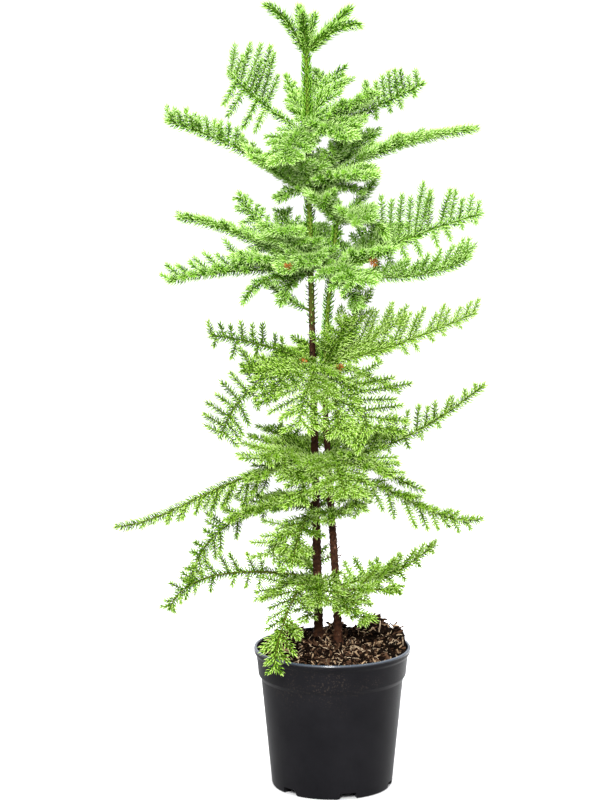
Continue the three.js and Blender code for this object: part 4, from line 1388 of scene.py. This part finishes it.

# %% [markdown]
# ## Needles
#
# A needle is a soft keeled awl about a centimetre long, bent in towards the tip of its twig. Its foot is
# a deeper green, painted shade where it meets the twig, and its inner side paler, a painted highlight.
# Needles stand round the twig in a spiral, each turned on from the last by the golden angle, and on the
# youngest growth they are short, pale and closed together. A particle system could scatter them, but real
# meshes travel better, so all needles of one tone are worked out at once as arrays and joined into a few
# pieces. Tones are dealt out by twig: each frond has its own, yellower in the lower tiers, and on many
# fronds it is lifted or lowered as painted light and shade; each twig strays a little from it, and young
# tips are a step paler.

# %% Needle finishes from deep green to withered


def make_needle_finish(name, dark, light):
    """Soft waxy green that drifts between two near tones."""
    finish, tree, shader = start_finish(
        name, grain_scale=1500.0, smoothest=0.5, roughest=0.7, dent=0.05, gloss=0.03
    )
    tree.links.new(add_patches(tree, dark, light, 95.0), shader.inputs["Base Color"])
    return finish


NEEDLE_COLOURS = {
    "deep": ((0.015, 0.058, 0.001), (0.040, 0.12, 0.002)),
    "mid": ((0.102, 0.24, 0.018), (0.172, 0.328, 0.041)),
    "bright": ((0.205, 0.369, 0.063), (0.298, 0.456, 0.122)),
    "fresh": ((0.271, 0.415, 0.122), (0.374, 0.521, 0.197)),
    "low_deep": ((0.018, 0.054, 0.001), (0.044, 0.108, 0.002)),
    "low_mid": ((0.099, 0.213, 0.012), (0.164, 0.292, 0.026)),
    "low_bright": ((0.187, 0.322, 0.039), (0.271, 0.409, 0.08)),
    "low_fresh": ((0.257, 0.374, 0.094), (0.353, 0.48, 0.158)),
    "withered": ((0.18, 0.058, 0.012), (0.32, 0.13, 0.030)),
    "dry": ((0.030, 0.015, 0.008), (0.095, 0.052, 0.030)),
}
TONES = {tone: make_needle_finish(f"{tone}_needles", *pair) for tone, pair in NEEDLE_COLOURS.items()}
TONE_NAMES = list(TONES)
GREENS = 4  # tones from deep to fresh, once for the upper tiers and once, yellower, for the lower ones
LOWER_TIER = 5  # the first tier that takes the yellower tones
WITHERED = TONE_NAMES.index("withered")
print("needle tones:", TONE_NAMES)

# %% Needles round one line
GOLDEN_ANGLE = math.radians(137.5)
SPREAD_ANGLE = 72
CLOSED_ANGLE = 34
ANGLE_JITTER = 8
PLACE_STRAY = 0.6  # share of the room to the next needle
TURN_STRAY = 0.18
SIZE_RANGE = (0.82, 1.14)
STEEP = 0.95  # a line that rises more steeply takes its side from another axis
YOUNG_RUN = 12  # the last stretch of a twig is young growth
YOUNG_SIZE = 0.7
SUNK = 0.5  # share of a twig's radius at which a needle roots


def needles_round(points, radius, length, per_mm, start, rng, spread=SPREAD_ANGLE):
    """Needles in a spiral round a line: the root, heading, way out, opening, length and youth of each."""
    run = run_along(points)
    count = max(0, int((run[-1] - start) * per_mm))
    order = np.arange(count)
    at = start + (order + rng.uniform(0, PLACE_STRAY, count)) / per_mm
    headings = headings_along(points)
    middle = np.stack([np.interp(at, run, points[:, axis]) for axis in range(3)], axis=-1)
    heading = unit(np.stack([np.interp(at, run, headings[:, axis]) for axis in range(3)], axis=-1))
    upright = np.abs(heading[:, 2:]) > STEEP
    left = unit(np.cross(np.where(upright, [1.0, 0.0, 0.0], UP), heading))
    turn = order * GOLDEN_ANGLE + rng.normal(0, TURN_STRAY, count)
    out = left * np.cos(turn)[:, None] + np.cross(heading, left) * np.sin(turn)[:, None]
    youth = np.clip(1 - (run[-1] - at) / YOUNG_RUN, 0, 1)
    opening = np.radians(blend(spread, CLOSED_ANGLE, youth) + rng.normal(0, ANGLE_JITTER, count))
    size = length * blend(1, YOUNG_SIZE, youth) * rng.uniform(*SIZE_RANGE, count)
    root = middle + out * radius * SUNK
    return dict(root=root, heading=heading, out=out, opening=opening, size=size, youth=youth)


print("needle spiral ready")

# %% Tone, painted light and vigour of each frond
# needles to a millimetre, and their length, in each tier from the tip down
TIER_DENSITY = {1: 2.6, 2: 1.75, 3: 1.7, 4: 1.65, 5: 1.45, 6: 1.4, 7: 1.35, 8: 1.35}
TIER_NEEDLE = {1: 12, 2: 10.5, 3: 10.5, 4: 10.5, 5: 10, 6: 10, 7: 10, 8: 10}
USUAL_TONE = 1.6
# nought is deep green and three is fresh green; these tones are mostly painted light and shade:
# fronds shaded by the fronds above are lifted paler, and some are set darker as painted shade
FROND_TONE_AND_PAINTED_LIGHT = {
    "tall_tip": 1.2,
    "tall_tier2_front": 2.0,
    "tall_tier3_front": 2.5, "tall_tier3_front_left": 2.2, "tall_tier3_front_upright": 2.5,
    "tall_tier3_low_right": 2.2, "tall_tier3_right": 1.8,
    "tall_tier4_front": 2.4,
    "tall_tier5_left": 0.7, "tall_tier5_front_left": 1.1, "tall_tier5_front_middle": 1.2,
    "tall_tier6_front_left": 2.2, "tall_tier6_back_left": 0.8,
    "tall_tier7_left": 0.5, "tall_tier7_front_left": 2.3,
    "tall_tier8_left": 0.9, "tall_tier8_front_left": 1.3,
    "short_tip": 2.1,
    "short_tier4_front": 2.2, "short_tier4_right": 2.3, "short_tier4_right_lower": 2.1,
    "short_tier4_right_hanging": 2.0,
    "short_tier5_front": 2.3, "short_tier5_right": 3.1, "short_tier5_right_fan": 2.9,
    "short_tier5_right_upright": 2.9,
    "short_tier6_front": 2.2, "short_tier6_right": 1.8, "short_tier6_right_lower": 1.8,
}
print("fronds with a tone of their own:", len(FROND_TONE_AND_PAINTED_LIGHT))

# %% Needles of a frond
RIB_DENSITY = 1.2  # ribs are set more closely than twigs, with longer needles
RIB_NEEDLE = 1.1
SHORT_TWIG_NEEDLE = 0.8  # share of the length that needles have on the shortest twigs
NEEDLE_GROWTH = 0.008  # share that each millimetre of twig adds
RIB_START = 5  # bare millimetres at the foot of a rib, and of a twig
TWIG_START = 2
NEEDLE_STEP = 3
RIB_DEEPENING = 0.3  # steps in tone, as those below
TONE_STRAY = 0.45
NEEDLE_STRAY = 0.7
TIP_PALING = 0.85  # the outer half of a needle is paler than its foot
YOUNG_PALING = 0.9


def needles_of(grown):
    """Needles of one frond as arrays, with a tone number for each."""
    rng = np.random.default_rng(grown["seed"])
    density, length = TIER_DENSITY[grown["tier"]], TIER_NEEDLE[grown["tier"]]
    # a frond's tone; on many fronds it is lifted or lowered as painted light and shade
    tone = FROND_TONE_AND_PAINTED_LIGHT.get(grown["name"], USUAL_TONE)
    family = GREENS if grown["tier"] >= LOWER_TIER else 0
    rib, radius = rib_line(grown["rib"]), rib_radius(grown["habit"])
    on_rib = needles_round(rib, radius, length * RIB_NEEDLE, density * RIB_DENSITY, RIB_START, rng)
    batches = [(on_rib, tone - RIB_DEEPENING)]
    for twig in grown["twigs"]:
        line = twig_line(twig, NEEDLE_STEP)
        size = length * min(1, SHORT_TWIG_NEEDLE + NEEDLE_GROWTH * twig["reach"])
        batch = needles_round(line, TWIG_ROOT_RADIUS, size, density, TWIG_START, rng)
        stray = rng.normal(0, TONE_STRAY)
        batches.append((batch, None if twig.get("withered") else tone + stray))
    for batch, base in batches:
        count = len(batch["size"])
        if base is None:
            batch["tone"] = np.full(count, WITHERED)
        else:
            paled = base + TIP_PALING + YOUNG_PALING * batch["youth"] + rng.normal(0, NEEDLE_STRAY, count)
            batch["tone"] = np.clip(np.rint(paled), 0, GREENS - 1).astype(int) + family
    return [batch for batch, _ in batches]


batches = [batch for grown in FRONDS for batch in needles_of(grown)]
print("needles on fronds:", sum(len(batch["size"]) for batch in batches))

# %% Needles on the stems themselves
STEM_SEED = 600
STEM_POINTS = 40
STEM_BEDDING = 0.95  # share of the stem's radius at which its needles root
# stem, from height, to height, needles to a millimetre, length, opening in degrees, tone
STEM_NEEDLES = [
    (TALL, 215, 619, 0.22, 3.2, 70, "dry"),
    (TALL, 619, 690, 0.7, 9, 60, "bright"),
    (TALL, 690, 880, 1.9, 10, 52, "mid"),
    (TALL, 880, 984, 2.6, 10, 45, "mid"),
    (SHORT, 205, 565, 0.22, 3.2, 70, "dry"),
    (SHORT, 302, 326, 0.35, 10, 78, "dry"),
    (SHORT, 500, 565, 0.6, 8, 60, "bright"),
    (SHORT, 565, 762, 2.0, 10, 52, "mid"),
]


def stem_needles(stem, low, high, density, length, spread, tone, seed):
    """Needles that stand on a stretch of a stem."""
    rng = np.random.default_rng(seed)
    line = np.array([stem_point(stem, height) for height in np.linspace(low, high, STEM_POINTS)])
    radius = stem_radius(stem, (low + high) / 2) / SUNK * STEM_BEDDING
    batch = needles_round(line, radius, length, density, 0, rng, spread)
    batch["tone"] = np.full(len(batch["size"]), TONE_NAMES.index(tone))
    return batch


batches += [stem_needles(*row, seed=STEM_SEED + i) for i, row in enumerate(STEM_NEEDLES)]
print("needles in all:", sum(len(batch["size"]) for batch in batches))

# %% [markdown]
# ## The shape of one needle
#
# Seen close, a needle is three-sided, with a keel, two flanks and a tip that bends in along the twig. A
# flat card with a leaf painted on it would be lighter, but it vanishes when seen edge-on. So each needle is
# a real awl of ten faces, and its foot, its flanks and its inner side take three tones: the foot is deeper
# as painted shade, and the inner side paler as a painted highlight.

# %% One awl for every needle
NEEDLE_RADIUS = 0.8
WAIST_RADIUS = 0.72
INCURVE = math.radians(32)
AWL_CORNERS = 7
# corners of the root 0 1 2 and of the waist 3 4 5, keel first, and the tip 6
AWL_FACES = np.array([
    (3, 4, 6), (5, 3, 6), (4, 5, 6),
    (1, 2, 5), (1, 5, 4), (0, 1, 4), (0, 4, 3), (2, 0, 3), (2, 3, 5), (0, 2, 1),
])
# the outer half has the needle's own tone 0, with a paler inner side 1 as a painted highlight,
# and the foot is deeper 2 as painted shade
FACE_FINISH = np.array([0, 0, 1, 2, 2, 2, 2, 2, 2, 2], np.int32)


def awls(needles):
    """Corners and triangles of many keeled awls, each bent once towards the tip of its twig."""
    opening, size = needles["opening"][:, None], needles["size"][:, None]
    heading, out = needles["heading"], needles["out"]
    rise = heading * np.cos(opening) + out * np.sin(opening)
    bent = heading * np.cos(opening - INCURVE) + out * np.sin(opening - INCURVE)
    side = unit(np.cross(heading, out))
    keel = np.cross(side, rise)
    waist = needles["root"] + rise * size / 2
    rings = []
    for middle, radius in ((needles["root"], NEEDLE_RADIUS), (waist, WAIST_RADIUS)):
        for turn in (0, math.pi * 2 / 3, math.pi * 4 / 3):
            rings.append(middle + (keel * math.cos(turn) - side * math.sin(turn)) * radius)
    corners = np.stack([*rings, waist + bent * size / 2], axis=1).reshape(-1, 3)
    starts = np.arange(len(opening)) * AWL_CORNERS
    return corners, (starts[:, None, None] + AWL_FACES[None]).reshape(-1, 3)


print("faces of one needle:", len(AWL_FACES))

# %% Join the needles by tone
MOST_NEEDLES = 19000  # in one piece, which keeps it under 200,000 triangles
# steps in tone from a needle to its inner side, a painted highlight, and to its foot, painted shade
INNER_PAINTED_HIGHLIGHT_STEP = 1
FOOT_PAINTED_SHADE_STEP = -2


def near_tone(number, step):
    """Finish that is some steps paler, or deeper, in the same family of greens."""
    family, place = divmod(number, GREENS)
    if number < WITHERED:
        number = family * GREENS + min(max(place + step, 0), GREENS - 1)
    return TONES[TONE_NAMES[number]]


def make_needle_pieces(batches):
    """One or more pieces a tone, each with a paler painted-highlight and a deeper painted-shade finish."""
    fields = ("root", "heading", "out", "opening", "size", "tone")
    everything = {field: np.concatenate([batch[field] for batch in batches]) for field in fields}
    pieces = []
    for number, tone in enumerate(TONE_NAMES):
        chosen = np.flatnonzero(everything["tone"] == number)
        for part, picked in enumerate(np.array_split(chosen, math.ceil(len(chosen) / MOST_NEEDLES))):
            name = f"{tone}_needles_{part + 1}"
            shape = awls({field: values[picked] for field, values in everything.items()})
            piece = add_shape(name, shape, TONES[tone], FOLIAGE_NODES, smooth=False)
            # paler finish: painted highlight on the inner side; deeper finish: painted shade at the foot
            for step in (INNER_PAINTED_HIGHLIGHT_STEP, FOOT_PAINTED_SHADE_STEP):
                piece.data.materials.append(near_tone(number, step))
            piece.data.polygons.foreach_set("material_index", np.tile(FACE_FINISH, len(picked)))
            pieces.append(piece)
            print(name, len(picked), "needles")
    return pieces


needle_pieces = make_needle_pieces(batches)
print("triangles in all needles:", sum(len(piece.data.polygons) for piece in needle_pieces))

# %% [markdown]
# ## Studio
#
# The plant stands on a plain pale floor in even white light, as for a catalogue. A curved backdrop would
# show its edge in a view from the side, so the floor is one large sheet that reaches the horizon all round.
# It is stage and not part of the plant.

# %% Floor
FLOOR_SIZE = 120.0
FLOOR_DARK = (0.46, 0.46, 0.46)
FLOOR_LIGHT = (0.475, 0.475, 0.475)


def make_floor():
    """Plain pale studio floor."""
    half = FLOOR_SIZE / 2
    mesh = bpy.data.meshes.new("studio_floor")
    corners = [(-half, -half, 0), (half, -half, 0), (half, half, 0), (-half, half, 0)]
    mesh.from_pydata(corners, [], [(0, 1, 2, 3)])
    floor = add_object("studio_floor", mesh)
    finish, tree, shader = start_finish(
        "studio_floor_paint", grain_scale=60.0, smoothest=0.8, roughest=0.9, dent=0.0, gloss=0.0
    )
    tree.links.new(add_patches(tree, FLOOR_DARK, FLOOR_LIGHT, 0.7), shader.inputs["Base Color"])
    mesh.materials.append(finish)
    return floor


print("floor:", make_floor().name)

# %% [markdown]
# ## Light and camera
#
# A white sky, brighter overhead, lights the plant from all round. Sky alone leaves the fronds under other
# fronds too dark, so one large soft lamp stands at the front, not far above the camera, and a narrow one
# over the floor at the back right clears the plant's shadow from it. The camera is a long lens a few metres
# off, looking a little down, because a short lens would spread the pot.

# %% Light
SKY_STRENGTH = 1.0
HORIZON = opaque(0.50, 0.50, 0.51)
ZENITH = opaque(3.3, 3.3, 3.36)
LAMP_PLACE = (-0.25, -3.3, 2.1)
LAMP_AIM = (0, 0, 0.5)
LAMP_SIZE = 0.8
LAMP_POWER = 330.0
FLOOR_LAMP_PLACE = (0.75, 0.75, 1.5)
FLOOR_LAMP_SPREAD = math.radians(70)
FLOOR_LAMP_POWER = 30.0


def add_lamp(name, place, aim, size, power, spread=math.pi):
    """Square soft lamp that looks at a point."""
    lamp = bpy.data.lights.new(name, "AREA")
    lamp.size = size
    lamp.energy = power
    lamp.spread = spread
    holder = add_object(name, lamp)
    holder.location = place
    holder.rotation_euler = (Vector(aim) - Vector(place)).to_track_quat("-Z", "Y").to_euler()


def make_light():
    """White sky, one large soft lamp and a narrow one that clears the plant's shadow from the floor."""
    sky = bpy.data.worlds.new("white studio sky")
    sky.use_nodes = True
    tree = sky.node_tree
    direction = add_node(tree, "ShaderNodeTexCoord")
    split = add_node(tree, "ShaderNodeSeparateXYZ")
    tree.links.new(direction.outputs["Generated"], split.inputs[0])
    climb = add_range(tree, split.outputs["Z"], 0.0, 1.0)
    background = tree.nodes["Background"]
    tree.links.new(add_mix(tree, climb, HORIZON, ZENITH), background.inputs["Color"])
    background.inputs["Strength"].default_value = SKY_STRENGTH
    bpy.context.scene.world = sky
    add_lamp("soft lamp", LAMP_PLACE, LAMP_AIM, LAMP_SIZE, LAMP_POWER)
    below = (FLOOR_LAMP_PLACE[0], FLOOR_LAMP_PLACE[1], 0)
    add_lamp("floor lamp", FLOOR_LAMP_PLACE, below, LAMP_SIZE, FLOOR_LAMP_POWER, FLOOR_LAMP_SPREAD)
    bpy.context.scene.view_settings.view_transform = "Standard"


make_light()
print("sky strength", SKY_STRENGTH, "lamp", LAMP_POWER, "W")

# %% Camera
CAMERA_PLACE = (-0.0432, -4.0, 1.240)
CAMERA_PITCH = 10.15  # degrees below level
FRAME_HEIGHT = 800  # pixels
FOCAL_PIXELS = 3081
SENSOR = 36.0
FARTHEST = 200.0  # metres, past the far edge of the floor


def make_camera():
    """Long lens in front of the plant, a little above its middle."""
    lens = bpy.data.cameras.new("catalogue camera")
    lens.sensor_fit = "VERTICAL"
    lens.sensor_height = SENSOR
    lens.lens = FOCAL_PIXELS / FRAME_HEIGHT * SENSOR
    lens.clip_end = FARTHEST
    camera = add_object("catalogue camera", lens)
    camera.location = CAMERA_PLACE
    camera.rotation_euler = (math.radians(90 - CAMERA_PITCH), 0, 0)
    bpy.context.scene.camera = camera
    return camera


print("lens:", round(make_camera().data.lens, 1), "mm")
